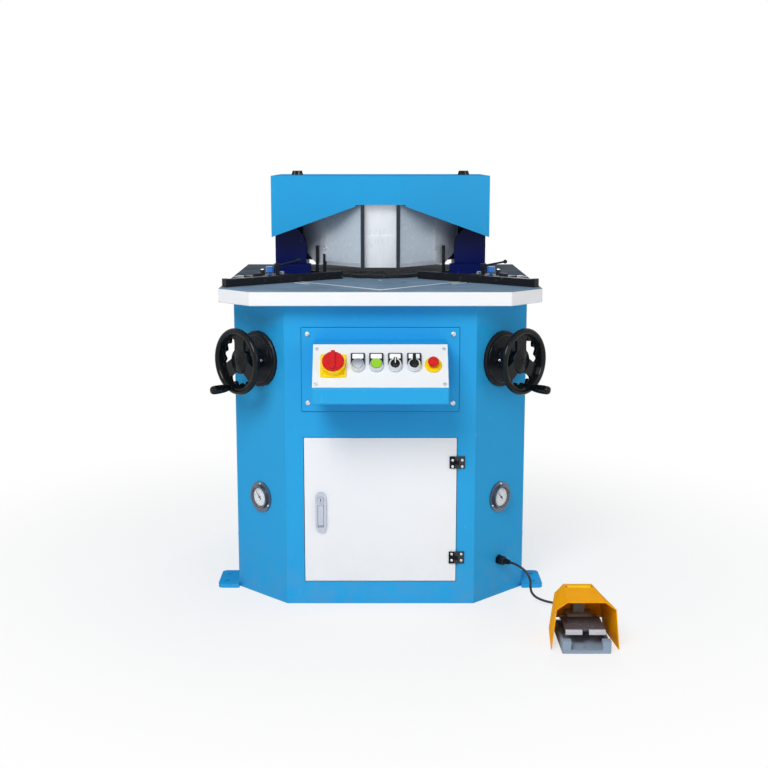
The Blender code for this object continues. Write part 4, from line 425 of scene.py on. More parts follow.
def stop_collar(x, y, z):
    """Where the emergency stop's collar stands proud of the faceplate."""
    return proud(y, z) * (x > STOP_LEFT)


def oiled_table():
    """Oiled ground steel top with painted shade to its back and sides, and pale painted edges."""
    steel = Finish("table_steel", roughness=0.45, Specular_IOR_Level=0.0)
    x, y, _ = steel.parts()
    top = steel.upright() > 0.5
    film = steel.noise(0.16, 5).rise(0.3, 0.72)
    smears = steel.noise(0.03, 6, stretch=(0.25, 1, 1)).rise(0.45, 0.75)
    lines = steel.noise(0.0011, 2, stretch=(1, 0.02, 1))
    stains = steel.cells(0.11).rise(0.16, 0.1) * steel.noise(0.02, 4).rise(0.45, 0.6)
    base = steel.tinted(colours().table, 0.72 + film * 0.3 + smears * 0.16 + lines * 0.1)
    # Painted shade: the top is darkest at the back and the sides, lightest at the front middle.
    painted_shade = 1 - (y + x * x).rise(-0.22, 0.30) * 0.74
    face = steel.mix(stains * 0.4, steel.tinted(base, painted_shade), linear(58, 72, 84))
    edge = steel.tinted(colours().white, 0.97 + steel.noise(0.05, 4) * 0.05)
    steel.colour(steel.mix(top, edge, face))
    steel.vary("Coat Weight", 0.04 + film * 0.05)
    steel.rough(0.4 + film * 0.14 + smears * 0.1)
    return steel.bump(lines * top + smears * 0.2, 0.00006).material


def ground_steel(name, colour, along="X", metallic=0.9, roughness=0.3, streak=0.0012):
    """Surface-ground steel: fine parallel lines, faint heat and oil tints."""
    steel = Finish(name, metallic=metallic, roughness=roughness)
    lines = steel.noise(streak, 3, stretch={"X": (0.03, 1, 1), "Z": (1, 1, 0.03)}[along])
    clouds = steel.noise(0.06, 4)
    nicks = steel.noise(0.004, 5).rise(0.68, 0.74)
    tone = steel.tinted(colour, 0.82 + lines * 0.22 + clouds * 0.14)
    steel.colour(steel.mix(nicks * 0.35, tone, linear(60, 66, 72)))
    steel.rough(roughness - 0.06 + lines * 0.16 + clouds * 0.08)
    return steel.bump(lines + nicks, 0.00005).material


def black_oxide(name="black_oxide", lift=1.0):
    """Blackened steel, worn to bare metal in small rubbed spots."""
    steel = Finish(name, roughness=0.4, coat=0.12, Coat_Roughness=0.3, Specular_IOR_Level=0.1)
    clouds = steel.noise(0.03, 5)
    rubs = steel.noise(0.009, 6, stretch=(1, 1, 0.4)).rise(0.62, 0.7)
    dark = steel.tinted(linear(24 * lift, 28 * lift, 34 * lift), 0.75 + clouds * 0.5)
    steel.colour(steel.mix(rubs * 0.22, dark, linear(112, 120, 130)))
    steel.rough(0.3 + clouds * 0.2)
    return steel.bump(steel.noise(0.0012, 3), 0.00005).material


def moulded(name, colour, roughness=0.28, coat=0.3, **constants):
    """Moulded plastic: an even colour, a soft ripple and fine handling marks."""
    plastic = Finish(name, roughness=roughness, coat=coat, Coat_Roughness=0.08, **constants)
    clouds = plastic.noise(0.03, 3)
    marks = plastic.noise(0.003, 6, stretch=(1, 1, 0.2)).rise(0.62, 0.7)
    tone = plastic.tinted(colour, 0.94 + clouds * 0.1)
    plastic.colour(plastic.mix(marks * 0.06, tone, linear(190, 190, 190)))
    plastic.rough(roughness - 0.04 + clouds * 0.08 + marks * 0.12)
    return plastic.bump(clouds + marks * 0.3, 0.00008).material


def clear_lens():
    """Clear button over a dark socket, with a painted reflection: dark at its top, pale at its
    foot.
    """
    lens = Finish("clear_button", roughness=0.16, coat=0.5)
    _, _, height = lens.parts()
    low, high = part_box("push_button_clear")
    # Painted reflection: the lens darkens from its foot to its top.
    shade = height.rise(low[2], high[2]) * (0.85 + lens.noise(0.006, 3) * 0.3)
    lens.colour(lens.mix(shade.clamp(), linear(214, 220, 226), linear(104, 116, 130)))
    return lens.bump(lens.noise(0.002, 2), 0.00003).material


def plated(name, colour, roughness=0.16, size=0.01):
    """Plated metal: bright, with faint crystal patches and wipe marks."""
    metal = Finish(name, metallic=1.0, roughness=roughness)
    tone = metal.parts(metal.cells(size, "Color"))[0]
    wipes = metal.noise(0.02, 5, stretch=(1, 0.2, 1))
    metal.colour(metal.tinted(colour, 0.86 + tone * 0.12 + wipes * 0.08))
    metal.rough(roughness + tone * 0.08 + wipes * 0.08)
    return metal.bump(metal.noise(0.0009, 2), 0.00002).material


def guard_end_shade(x, _, __):
    """The guards' outer ends, painted darker where they meet the columns: painted shade."""
    return abs(x).rise(GUARD_CLEAR, GUARD_SHADED)


def clear_sheet(name, alpha, colour, shade_mask=None):
    """Clear guard plastic with faint dust, seen mostly by its sheen; painted shade where a mask is
    given.
    """
    clear = Finish(name, roughness=0.06, coat=0.4)
    dust = clear.noise(0.012, 5).rise(0.5, 0.8)
    # Where a mask is given the sheet is darkened and made more opaque: painted shade, mixed with
    # the dust.
    dust_and_shade = shade_mask(*clear.parts()) * (0.9 + dust * 0.1) if shade_mask else dust * 0.1
    clear.colour(clear.mix(dust_and_shade, colour, linear(66, 78, 86)))
    clear.vary("Alpha", alpha + dust * 0.08 + dust_and_shade * 0.5)
    clear.rough(0.06 + dust * 0.2)
    return clear.material


def plate_and_devices():
    """Zinc mounting plate and rails, with the moulded switchgear that stands before them."""
    metal = Finish("electrical_zinc", roughness=0.32)
    _, y, z = metal.parts()
    device = y < DEVICE_BACK
    breaker = device * (z > BREAKERS_FROM)
    tone = metal.parts(metal.cells(0.018, "Color"))[0]
    clouds = metal.noise(0.03, 4)
    zinc = metal.tinted(linear(190, 196, 200), 0.86 + tone * 0.12 + clouds * 0.08)
    plastic = metal.mix(breaker, linear(46, 50, 56), linear(198, 202, 204))
    metal.colour(metal.mix(device, zinc, metal.tinted(plastic, 0.94 + clouds * 0.1)))
    metal.vary("Metallic", 1 - device)
    metal.rough(0.34 + tone * 0.08 + clouds * 0.08)
    return metal.bump(metal.noise(0.0009, 2), 0.00003).material


def cast_paint(name, colour, roughness=0.45, worn=0.3, bare=None, metal=linear(120, 116, 108)):
    """Paint over a casting: hammered relief, chips, and a painted highlight in the metal colour
    where a bare mask is given.
    """
    paint = Finish(name, roughness=roughness, coat=0.08, Coat_Roughness=0.3,
                   Specular_IOR_Level=0.0)
    lumps = paint.noise(0.004, 4)
    clouds = paint.noise(0.04, 4)
    chips = paint.noise(0.008, 6).rise(0.66, 0.69) * worn
    base = paint.tinted(colour, 0.8 + clouds * 0.3 + lumps * 0.08)
    if bare:
        # The bare mask adds a painted highlight in the metal colour.
        chips = (chips + bare(*paint.parts()) * (0.8 + clouds * 0.3)).clamp()
    paint.colour(paint.mix(chips, base, metal))
    paint.rough(roughness - 0.05 + clouds * 0.15 + chips * 0.3)
    return paint.bump(lumps - chips, 0.0002).material


def lip_highlight(_, y, __):
    """Where the treadle's front edge is painted bright: a painted highlight."""
    return y.rise(TREAD_BEHIND, TREAD_FRONT)


def graduated():
    """Scale strip: satin aluminium with black graduations each 1, 5 and 10 mm."""
    strip = Finish("scale_satin", metallic=0.1, roughness=0.36, Specular_IOR_Level=0.3)
    x, y, _ = strip.parts()
    along = (abs(x) + (y - SCALE_POINT)) * ROOT_HALF
    across = (abs(x) - (y - SCALE_POINT)) * ROOT_HALF + SCALE_HALF
    tick = abs(along % 0.001 - 0.0005) < 0.00014
    five = abs(along % 0.005 - 0.0005) < 0.0004
    ten = abs(along % 0.010 - 0.0005) < 0.0004
    reach = 0.0035 + five * 0.002 + ten * 0.002
    mark = tick * (across < reach)
    shade = strip.tinted(linear(236, 240, 244), 0.93 + strip.noise(0.01, 4) * 0.1)
    strip.colour(strip.mix(mark, shade, linear(20, 22, 26)))
    strip.rough(0.3 + mark * 0.3 + strip.noise(0.004, 3) * 0.1)
    return strip.bump(strip.noise(0.0006, 2, stretch=(0.05, 1, 1)), 0.00003).material


def rubber():
    """Matt sheath of the cord, with faint ribs and dust."""
    sheath = Finish("sheath_rubber", roughness=0.6)
    dust = sheath.noise(0.01, 5).rise(0.45, 0.8)
    sheath.colour(sheath.mix(dust * 0.12, linear(22, 22, 25), linear(120, 116, 110)))
    sheath.rough(0.52 + dust * 0.2)
    return sheath.bump(sheath.noise(0.0008, 2), 0.0001).material


def studio_floor(name):
    """Plain pale floor, white to the camera and to what mirrors it."""
    floor = Finish(name, roughness=0.9, Specular_IOR_Level=0.0)
    floor.fix("Base Color", (0.93, 0.93, 0.93, 1))
    rays = floor.node("LightPath")
    seen = rays.out("Is Camera Ray") + rays.out("Is Glossy Ray") + rays.out("Is Transmission Ray")
    x, y, _ = floor.parts()
    far = ((x * x + y * y) ** 0.5).rise(0.55, 1.9) * 0.35 + 0.65
    glow = floor.node("Emission", {}, (1, 1, 1), 1.0).node
    mix = floor.node("MixShader", {}, seen.clamp() * far).node
    floor.tree.links.new(floor.shader.outputs[0], mix.inputs[1])
    floor.tree.links.new(glow.outputs[0], mix.inputs[2])
    floor.tree.links.new(mix.outputs[0], floor.tree.nodes["Material Output"].inputs[0])
    return floor.material


# Forms in mesh code

def facing(middle, normal):
    """A place whose Z points along the normal and whose Y leans upwards."""
    out = Vector(normal).normalized()
    side = Vector((0, 0, 1)).cross(out).normalized()
    rows = Matrix((side, out.cross(side), out)).transposed().to_4x4()
    return Matrix.Translation(middle) @ rows


def forward(x, y, z):
    """A place that faces the operator."""
    return facing((x, y, z), (0, -1, 0))


def moved(place, x, y, z=0.0):
    """A place shifted along its own axes."""
    return place @ Matrix.Translation((x, y, z))


def turned(place, degrees):
    """A place turned about its own Z."""
    return place @ Matrix.Rotation(math.radians(degrees), 4, "Z")


def corner(side, height, out=0.0):
    """A place on the cabinet's chamfered front corner, Z pointing outwards."""
    return moved(facing((side * CORNER_X, CORNER_Y, height), (side, -1, 0)), 0, 0, out)


def faceplate(across, up, out=0.0):
    """A place on the leaning faceplate, Z pointing out of it."""
    normal = (0, -math.cos(FACE_LEAN), math.sin(FACE_LEAN))
    return moved(facing(FACE_MIDDLE, normal), across, up, out)


def fence(side):
    """The fence's own place: X along its bar, Y to the back, Z up from the table."""
    place = Matrix.Translation((side * FENCE_CORNER[0], FENCE_CORNER[1], TABLE_TOP + 0.0003))
    return turned(place, -side * FENCE_TURN)


def device_places(count):
    """Where the devices of a row stand, side by side on their rail."""
    return [(i - (count - 1) / 2) * DEVICE_PITCH for i in range(count)]


def ring(radius, sides, lobes=0, depth=0.0):
    """Points round a circle, with round lobes standing out of it if asked."""
    points = []
    for i in range(sides):
        angle = 2 * math.pi * i / sides
        reach = radius + depth * math.cos(lobes * angle)
        points.append((reach * math.cos(angle), reach * math.sin(angle)))
    return points


def rounded_outline(width, height, radius, steps=6):
    """A rectangle with round corners, about its own middle."""
    points = []
    for quarter, (x, y) in enumerate(((1, 1), (-1, 1), (-1, -1), (1, -1))):
        for i in range(steps + 1):
            angle = math.pi / 2 * (quarter + i / steps)
            points.append((x * (width / 2 - radius) + radius * math.cos(angle),
                           y * (height / 2 - radius) + radius * math.sin(angle)))
    return points


def smooth_route(points, spacing):
    """Even points on one smooth curve through the given ones."""
    ends = [2 * points[0] - points[1], *points, 2 * points[-1] - points[-2]]
    fine = []
    for a, b, c, d in zip(ends, ends[1:], ends[2:], ends[3:]):
        for i in range(24):
            t = i / 24
            fine.append(((2 * b) + (c - a) * t + (2 * a - 5 * b + 4 * c - d) * t ** 2
                         + (3 * b - a - 3 * c + d) * t ** 3) / 2)
    fine.append(points[-1])
    lengths = [0.0]
    for first, second in zip(fine, fine[1:]):
        lengths.append(lengths[-1] + (second - first).length)
    count = round(lengths[-1] / spacing)
    even = []
    at = 0
    for i in range(count + 1):
        wanted = lengths[-1] * i / count
        while at < len(fine) - 2 and lengths[at + 1] < wanted:
            at += 1
        span = lengths[at + 1] - lengths[at]
        even.append(fine[at].lerp(fine[at + 1], min(1, (wanted - lengths[at]) / span)))
    return even, lengths[-1]


class Shape:
    """Gathers the faces of one piece."""

    def __init__(self):
        self.bm = bmesh.new()

    def points(self, flat, matrix, height):
        return [self.bm.verts.new(matrix @ Vector((x, y, height))) for x, y in flat]

    def band(self, low, high):
        """Faces between two closed rings, either of which may be one point."""
        count = max(len(low), len(high))
        for i in range(count):
            j = (i + 1) % count
            around = (low[i % len(low)], low[j % len(low)],
                      high[j % len(high)], high[i % len(high)])
            around = list(dict.fromkeys(around))
            if len(around) > 2:
                self.bm.faces.new(around)

    def bands(self, rings):
        """Bands from each ring to the next."""
        for low, high in zip(rings, rings[1:]):
            self.band(low, high)
        return self

    def capped(self, rings):
        """Bands from each ring to the next, with a face over both ends."""
        self.bands(rings)
        self.bm.faces.new(rings[0])
        self.bm.faces.new(rings[-1])
        return self

    def lathe(self, profile, place, sides=40, lobes=0, depth=0.0):
        """A turned form from its (radius, height) points, lobed where depth is given."""
        rings = []
        for radius, height in profile:
            lobed = depth if radius > 4 * depth else 0
            flat = ring(radius, sides, lobes, lobed) if radius else [(0, 0)]
            rings.append(self.points(flat, place, height))
        return self.bands(rings)

    def plate(self, outline, low, high, place=Matrix(), bevel=0.0):
        """A flat plate between two heights, its upper edge softened."""
        rings = [self.points(outline, place, low), self.points(outline, place, high - bevel)]
        if bevel:
            reach = max(abs(x) for x, _ in outline), max(abs(y) for _, y in outline)
            inner = [(x * (1 - bevel / reach[0]), y * (1 - bevel / reach[1]))
                     for x, y in outline]
            rings.append(self.points(inner, place, high))
        return self.capped(rings)

    def sweep(self, route, section, up):
        """A section of (across, up) points carried along a route."""
        rings = []
        for i, point in enumerate(route):
            after = route[min(i + 1, len(route) - 1)]
            run = (after - route[max(i - 1, 0)]).normalized()
            side = run.cross(Vector(up)).normalized()
            over = side.cross(run)
            rings.append([self.bm.verts.new(point + side * x + over * y) for x, y in section])
        return self.capped(rings)

    def lettering(self, words, size, place, thick=0.0003):
        """Raised figures, centred on their place."""
        curve = bpy.data.curves.new("figures", "FONT")
        curve.body = words
        curve.size = size
        curve.extrude = thick / 2
        curve.align_x, curve.align_y = "CENTER", "CENTER"
        text = linked("figures", curve)
        mesh = bpy.data.meshes.new_from_object(text)
        mesh.transform(place @ Matrix.Translation((0, 0, thick / 2)))
        self.bm.from_mesh(mesh)
        bpy.data.objects.remove(text)
        bpy.data.meshes.remove(mesh)
        return self

    def screw(self, place, radius, proud, recess=0.45):
        """A domed head with a recess for its key."""
        hole = radius * recess
        return self.lathe([(0, UNDER), (radius, UNDER), (radius, proud * 0.35),
                           (radius * 0.85, proud * 0.8), (hole * 1.2, proud), (hole, proud * 0.9),
                           (hole, proud * 0.45), (0, proud * 0.45)], place, 24)

    def hexagon(self, place, radius, proud):
        """A hexagon head on its washer."""
        wide = radius * 1.25
        self.lathe([(0, UNDER), (wide, UNDER), (wide, proud * 0.18), (0, proud * 0.2)], place, 24)
        return self.plate(ring(radius, 6), proud * 0.15, proud, place, bevel=proud * 0.15)

    def placed(self, name, material):
        """Turns the faces into an object of the scene."""
        bmesh.ops.recalc_face_normals(self.bm, faces=self.bm.faces)
        mesh = bpy.data.meshes.new(name)
        self.bm.to_mesh(mesh)
        self.bm.free()
        mesh.materials.append(material)
        return linked(name, mesh)

    def made(self, name, material, body="machine", *, slot, bevel=0.0, replaces=()):
        """Turns the faces into a piece that rides on a body."""
        piece = self.placed(name, material)
        piece.data.shade_smooth()
        piece.data.set_sharp_from_angle(angle=SHARP_ANGLE)
        if bevel:
            rounding(piece, bevel)
        if replaces:
            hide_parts(*replaces)
        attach(piece, body)
        return piece


def rounding(piece, width):
    """Softens the sharp edges, as folding, grinding or moulding leaves them."""
    bevel = piece.modifiers.new("edges", "BEVEL")
    bevel.width = width
    bevel.segments = 2
    bevel.limit_method = "ANGLE"
    bevel.angle_limit = EDGE_ANGLE
    bevel.harden_normals = True
    bevel.use_clamp_overlap = True


def smoothed(angle):
    """A modifier's node group that shades by angle, for turned solids."""
    name = f"turned_{angle}"
    if name in bpy.data.node_groups:
        return bpy.data.node_groups[name]
    group = bpy.data.node_groups.new(name, "GeometryNodeTree")
    group.is_modifier = True
    for way in ("INPUT", "OUTPUT"):
        group.interface.new_socket("Geometry", in_out=way, socket_type="NodeSocketGeometry")
    nodes, links = group.nodes, group.links
    start, end = nodes.new("NodeGroupInput"), nodes.new("NodeGroupOutput")
    bend = nodes.new("GeometryNodeInputMeshEdgeAngle")
    flat = nodes.new("FunctionNodeCompare")
    flat.data_type = "FLOAT"
    flat.operation = "LESS_EQUAL"
    flat.inputs[1].default_value = math.radians(angle)
    edges, faces = (nodes.new("GeometryNodeSetShadeSmooth") for _ in range(2))
    edges.domain = "EDGE"
    links.new(bend.outputs["Unsigned Angle"], flat.inputs[0])
    links.new(start.outputs[0], edges.inputs["Geometry"])
    links.new(flat.outputs[0], edges.inputs["Shade Smooth"])
    links.new(edges.outputs[0], faces.inputs["Geometry"])
    links.new(faces.outputs[0], end.inputs[0])
    return group


def finished(material, *names, bevel=0.0, angle=30):
    """Gives solids of the model their finish, shading and softened edges."""
    for name in names:
        node = NODES[name]
        node.data.materials.clear()
        node.data.materials.append(material)
        node.modifiers.new("shading", "NODES").node_group = smoothed(angle)
        if bevel:
            rounding(node, bevel)


def pair(kind, part=""):
    """The names of the left and the right solid of a kind."""
    return [f"{kind}_{name}{part}" for _, name in SIDES]


# The stage: floor, lamps and camera

class NOTCHER_OT_stage(Operator):
    """Adds the pale floor, the soft lamps and the camera at the operator's side"""
    bl_idname = "notcher.stage"
    bl_label = "Stage"

    def execute(self, context):
        half = sizes().floor_size / 2
        square = [(half, half), (-half, half), (-half, -half), (half, -half)]
        Shape().plate(square, -0.02, 0.0).placed("floor", studio_floor("pale_floor"))
        for name, place, width, power in (("key", (-1.1, -3.5, 3.4), 2.2, 116),
                                          ("fill", (3.2, -3.4, 2.2), 2.8, 27),
                                          ("rear", (0.6, 3.4, 3.4), 2.6, 52)):
            self.lamp(name, place, width, power)
        self.world(context)
        self.camera(context)
        context.scene.view_settings.view_transform = "Standard"
        return {"FINISHED"}

    def lamp(self, name, place, width, power):
        light = bpy.data.lights.new(name, "AREA")
        light.shape = "DISK"
        light.size = width
        light.energy = power
        lamp = linked(name, light)
        aim = Vector((0, 0, 0.7)) - Vector(place)
        lamp.location = place
        lamp.rotation_euler = aim.to_track_quat("-Z", "Y").to_euler()

    def world(self, context):
        world = bpy.data.worlds.new("studio")
        world.use_nodes = True
        context.scene.world = world
        nodes, links = world.node_tree.nodes, world.node_tree.links
        room = nodes["Background"]
        room.inputs["Color"].default_value = (1, 1, 1, 1)
        room.inputs["Strength"].default_value = 0.34
        seen = nodes.new("ShaderNodeBackground")
        rays = nodes.new("ShaderNodeLightPath")
        mix = nodes.new("ShaderNodeMixShader")
        clear = rays.outputs["Is Camera Ray"]
        for name in ("Is Glossy Ray", "Is Transmission Ray"):
            either = nodes.new("ShaderNodeMath")
            either.operation = "MAXIMUM"
            links.new(clear, either.inputs[0])
            links.new(rays.outputs[name], either.inputs[1])
            clear = either.outputs[0]
        links.new(clear, mix.inputs[0])
        links.new(room.outputs[0], mix.inputs[1])
        links.new(seen.outputs[0], mix.inputs[2])
        links.new(mix.outputs[0], nodes["World Output"].inputs[0])
        seen.inputs["Color"].default_value = (1, 1, 1, 1)

    def camera(self, context):
        lens = bpy.data.cameras.new("camera")
        lens.lens = sizes().lens
        lens.sensor_width = 36
        lens.shift_x = 0.0047
        camera = linked("camera", lens)
        camera.location = (0, -3.90, 1.262)
        camera.rotation_euler = (math.radians(90 - 10.06), 0, 0)
        context.scene.camera = camera


class NOTCHER_OT_cord(Operator):
    """Lays the foot switch's cord from its gland down to the floor and the switch"""
    bl_idname = "notcher.cord"
    bl_label = "Foot Switch Cord"

    ROUTE = ((0.3754, -0.3529, 0.107), (0.390, -0.3675, 0.1065), (0.409, -0.385, 0.099),
             (0.423, -0.397, 0.086), (0.4305, -0.402, 0.068), (0.431, -0.402, 0.050),
             (0.435, -0.401, 0.033), (0.448, -0.402, 0.019), (0.470, -0.404, 0.0095),
             (0.494, -0.409, 0.005), (0.516, -0.424, 0.0042), (0.532, -0.452, 0.0042),
             (0.540, -0.490, 0.0042), (0.540, -0.530, 0.005), (0.536, -0.562, 0.010),
             (0.534, -0.582, 0.0135), (0.534, -0.5937, 0.014))

    def execute(self, context):
        route, length = smooth_route([Vector(point) for point in self.ROUTE], 0.005)
        wide = sizes().cord_diameter
        cord = Shape().sweep(route, ring(wide / 2, 16), (0.3, 0.2, 1)).made(
            "foot_cord_smooth", rubber(), slot="cord_rubber", replaces=("foot_cord",))
        return {"FINISHED"}


class NOTCHER_OT_finishes(Operator):
    """Gives every solid of the model its own finish and softened edges"""
    bl_idname = "notcher.finishes"
    bl_label = "Finishes"

    def execute(self, context):
        shades = colours()
        shiny = {"coat": 0.2, "Specular_IOR_Level": 0.1}
        blue = powder_coat("blue_powder_coat", shades.blue).material
        navy = powder_coat("navy_paint", shades.navy, roughness=0.26).material
        hood = sheet_paint("hood_blue", shades.blue, linear(52, 60, 70), guard_posts).material
        door = sheet_paint("door_white", shades.white, linear(20, 23, 28), door_hinges, 0.06)
        # The faceplate takes a darker copy of the white powder coat: painted shade, for the extra
        # light on its leaning face.
        face = sheet_paint("faceplate_white", linear(228, 233, 238), bezel_shades, bezels, 0)
        face.colour(face.mix(stop_collar(*face.parts()), face.fed("Base Color"), shades.yellow))
        oxide = black_oxide()
        plastic = moulded("black_plastic", linear(10, 13, 16), roughness=0.2, coat=0.26,
                          Specular_IOR_Level=0.06)
        silver = moulded("latch_silver", linear(196, 202, 216), roughness=0.36, coat=0.12)
        finished(blue, "cabinet_shell", "control_box", bevel=sizes().edge_round / 2)
        finished(hood, "hood", bevel=0.001)
        finished(navy, "press_frame", bevel=0.002)
        finished(door.material, "door_panel", bevel=0.001)
        finished(face.material, "control_faceplate", bevel=0.0004)
        finished(oiled_table(), "work_table", bevel=0.0015)
        finished(graduated(), "scale_strip")
        finished(black_oxide("die_black", 1.1), "die_plate", *pair("lower_blade"),
                 "lower_blade_nose", bevel=0.0006)
        finished(ground_steel("ram_nose_steel", linear(236, 240, 246), along="Z", metallic=0.4,
                              roughness=0.24, streak=0.002), "ram_nose", bevel=0.0008)
        finished(ground_steel("blade_steel", linear(232, 240, 248), along="Z", metallic=0.2,
                              streak=0.002), *pair("upper_blade"), bevel=0.0006)
        finished(ground_steel("ram_steel", linear(150, 162, 172), metallic=0.6, roughness=0.36),
                 "ram_body", bevel=0.0012)
        finished(black_oxide("fence_black", 0.9), *pair("fence", "_bar"), bevel=0.0008)
        finished(moulded("switch_yellow", shades.yellow, **shiny), "main_switch_plate",
                 bevel=0.0008)
        finished(moulded("stop_red", shades.red, **shiny), "main_switch_knob", "estop_button",
                 bevel=0.0008)
        finished(clear_lens(), "push_button_clear", bevel=0.0004)
        finished(moulded("start_green", shades.green, **shiny), "push_button_green",
                 bevel=0.0004)
        finished(plastic, "selector_inner", "selector_outer", *pair("handwheel"), *pair("grip"),
                 "cable_gland", *pair("hood_knob"), bevel=0.0005, angle=40)
        finished(black_oxide("flange_black", 0.9), *pair("wheel_flange"), bevel=0.0006, angle=40)
        finished(silver, "latch_case", "latch_lever", "latch_button", bevel=0.0005)
        finished(moulded("hinge_black", linear(20, 23, 28), roughness=0.4), "hinge_upper",
                 "hinge_lower", bevel=0.0005)
        finished(plated("gauge_rim", linear(112, 120, 134), roughness=0.34),
                 *pair("gauge_case"), bevel=0.0005)
        finished(plated("rod_chrome", linear(216, 222, 228)), "piston_rod", bevel=0.0004)
        finished(clear_sheet("gauge_glass", 0.06, linear(236, 242, 246)), *pair("gauge_lens"))
        # The guards are darkened towards their ends: painted shade.
        finished(clear_sheet("guard_plastic", 0.30, linear(230, 244, 255), guard_end_shade),
                 *pair("guard_panel"))
        finished(moulded("needle_black", linear(14, 14, 16)), *pair("gauge_needle"))
        finished(oxide, *pair("clamp_lever"), bevel=0.0004, angle=40)
        finished(moulded("knob_blue", linear(26, 122, 214)), *pair("fence_knob"), bevel=0.0005)
        finished(cast_paint("shield_orange", shades.orange, worn=0.15), "foot_switch_hood",
                 bevel=0.0006)
        finished(cast_paint("switch_base_grey", linear(150, 168, 188), worn=0.35),
                 "foot_switch_base", bevel=0.0008)
        # The treadle's bright front lip is a painted highlight.
        finished(cast_paint("treadle_grey", linear(98, 94, 100), roughness=0.4, worn=0.2,
                            bare=lip_highlight, metal=linear(206, 206, 214)),
                 "foot_treadle", bevel=0.0005)
        for look, shade, name, bevel in (
                ("tank_grey", linear(98, 106, 114), "oil_tank", 0.0015),
                ("motor_blue", linear(42, 70, 118), "pump_motor", 0.0008),
                ("cylinder_grey", linear(60, 68, 78), "cylinder_barrel", 0.001)):
            finished(cast_paint(look, shade), name, bevel=bevel)
        finished(plate_and_devices(), "electrical_plate", bevel=0.0008)
        finished(rubber(), "foot_cord")
        return {"FINISHED"}


class NOTCHER_OT_fasteners(Operator):
    """Sets the screws and bolts of the panels, hinges, gauges, ram and fences"""
    bl_idname = "notcher.fasteners"
    bl_label = "Screws and Bolts"

    def execute(self, context):
        zinc = plated("screw_zinc", linear(214, 218, 222), roughness=0.22, size=0.004)
        dark = black_oxide("screw_black", 1.5)
        small = sizes().screw_radius
        self.panel(zinc, small)
        self.hinges(zinc, small)
        self.gauges(zinc, small)
        self.ram(zinc)
        for side, name in SIDES:
            self.fence(fence(side), side, name, zinc, dark)
        Shape().lathe([(0, 0.0006), (0.0042, 0.0006), (0.0048, 0.0002), (0.0048, UNDER),
                       (0, UNDER)], Matrix.Translation((0, DOWEL_Y, TABLE_TOP)), 32).made(
            "table_dowel", zinc, slot="bright_steel")
        return {"FINISHED"}

    def panel(self, zinc, small):
        """Four domes on the mounting plate, four small screws on the faceplate."""
        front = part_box("control_box")[1][1] - 0.003
        heads, screws = Shape(), Shape()
        for x, screw_x in ((-0.2025, -0.1715), (0.2025, 0.1715)):
            for z, up in ((0.588, -0.0565), (0.782, 0.0520)):
                heads.screw(forward(x, front, z), 0.0074, 0.0042, 0.35)
                screws.screw(faceplate(screw_x, up, FACE_TOP - UNDER), small * 1.5, 0.0018, 0.5)
        heads.made("plate_bolts", zinc, slot="galvanised")
        steel = plated("screw_steel", linear(168, 174, 182), roughness=0.3, size=0.003)
        screws.made("faceplate_screws", steel, slot="galvanised")

    def hinges(self, zinc, small):
        """Two round heads on each hinge's fixed leaf, two on the leaf that swings."""
        for name, body, sign in (("fixed", "machine", 1), ("door", "door", -1)):
            heads = Shape()
            for z in HINGE_HEIGHTS:
                for up in (-LEAF_SCREW_UP, LEAF_SCREW_UP):
                    across = DOOR_AXIS[0] + sign * LEAF_SCREW_ACROSS
                    heads.screw(forward(across, LEAF_FACE, z + up), small * 1.25, 0.0016)
            heads.made("hinge_screws_" + name, zinc, body, slot="galvanised")

    def gauges(self, zinc, small):
        """Three screws through each gauge's flange."""
        for side, name in SIDES:
            heads = Shape()
            for turn in (90, -30, -150):
                place = turned(corner(side, GAUGE_Z, GAUGE_FLANGE), turn)
                heads.screw(moved(place, GAUGE_SCREW_REACH, 0, -UNDER), small, 0.002)
            heads.made("gauge_screws_" + name, zinc, slot="chrome")

    def ram(self, zinc):
        """Key-headed bolts through both shearing plates of the ram."""
        for side, name in SIDES:
            heads = Shape()
            for x, z in ((0.1335, 1.044), (0.1015, 0.965), (0.1715, 0.985)):
                place = facing((side * x, x - 0.077, z), (side, -1, 0))
                heads.screw(moved(place, 0, 0, 0.0003), sizes().bolt_radius, 0.0025, 0.5)
            heads.made("ram_bolts_" + name, zinc, "ram", slot="bright_steel")

    def fence(self, place, side, name, zinc, dark):
        """Countersunk screws in a fence's face, bolts and stops on its carriage."""
        heads, bolts, stops = Shape(), Shape(), Shape()
        for along in (0.132, 0.258):
            heads.screw(moved(place, -side * along, UNDER, 0.011) @ forward(0, 0, 0),
                        0.0042, 0.0008, 0.55)
        bolts.hexagon(moved(place, -side * 0.247, 0.078, FENCE_DECK), 0.0065, 0.006)
        cap = moved(place, -side * 0.181, 0.083, FENCE_DECK)
        bolts.lathe([(0, 0.016), (0.0052, 0.016), (0.0056, 0.0152), (0.0056, 0.0135), (0, 0.0135)],
                    cap, 28)
        stops.lathe([(0, 0), (0.0078, 0), (0.0078, 0.002), (0.0062, 0.0025), (0.0062, 0.013),
                     (0.0052, 0.0138), (0, 0.0138)], cap, 28, lobes=14, depth=0.0003)
        stops.plate(rounded_outline(0.028, 0.012, 0.002), 0, 0.008,
                    moved(place, -side * 0.142, 0.052, FENCE_DECK), bevel=0.001)
        for shape, kind, material, slot in ((heads, "screws", dark, "black_steel"),
                                            (bolts, "bolts", zinc, "galvanised"),
                                            (stops, "stops", dark, "black_steel")):
            shape.made(f"fence_{kind}_{name}", material, "fence_" + name, slot=slot)


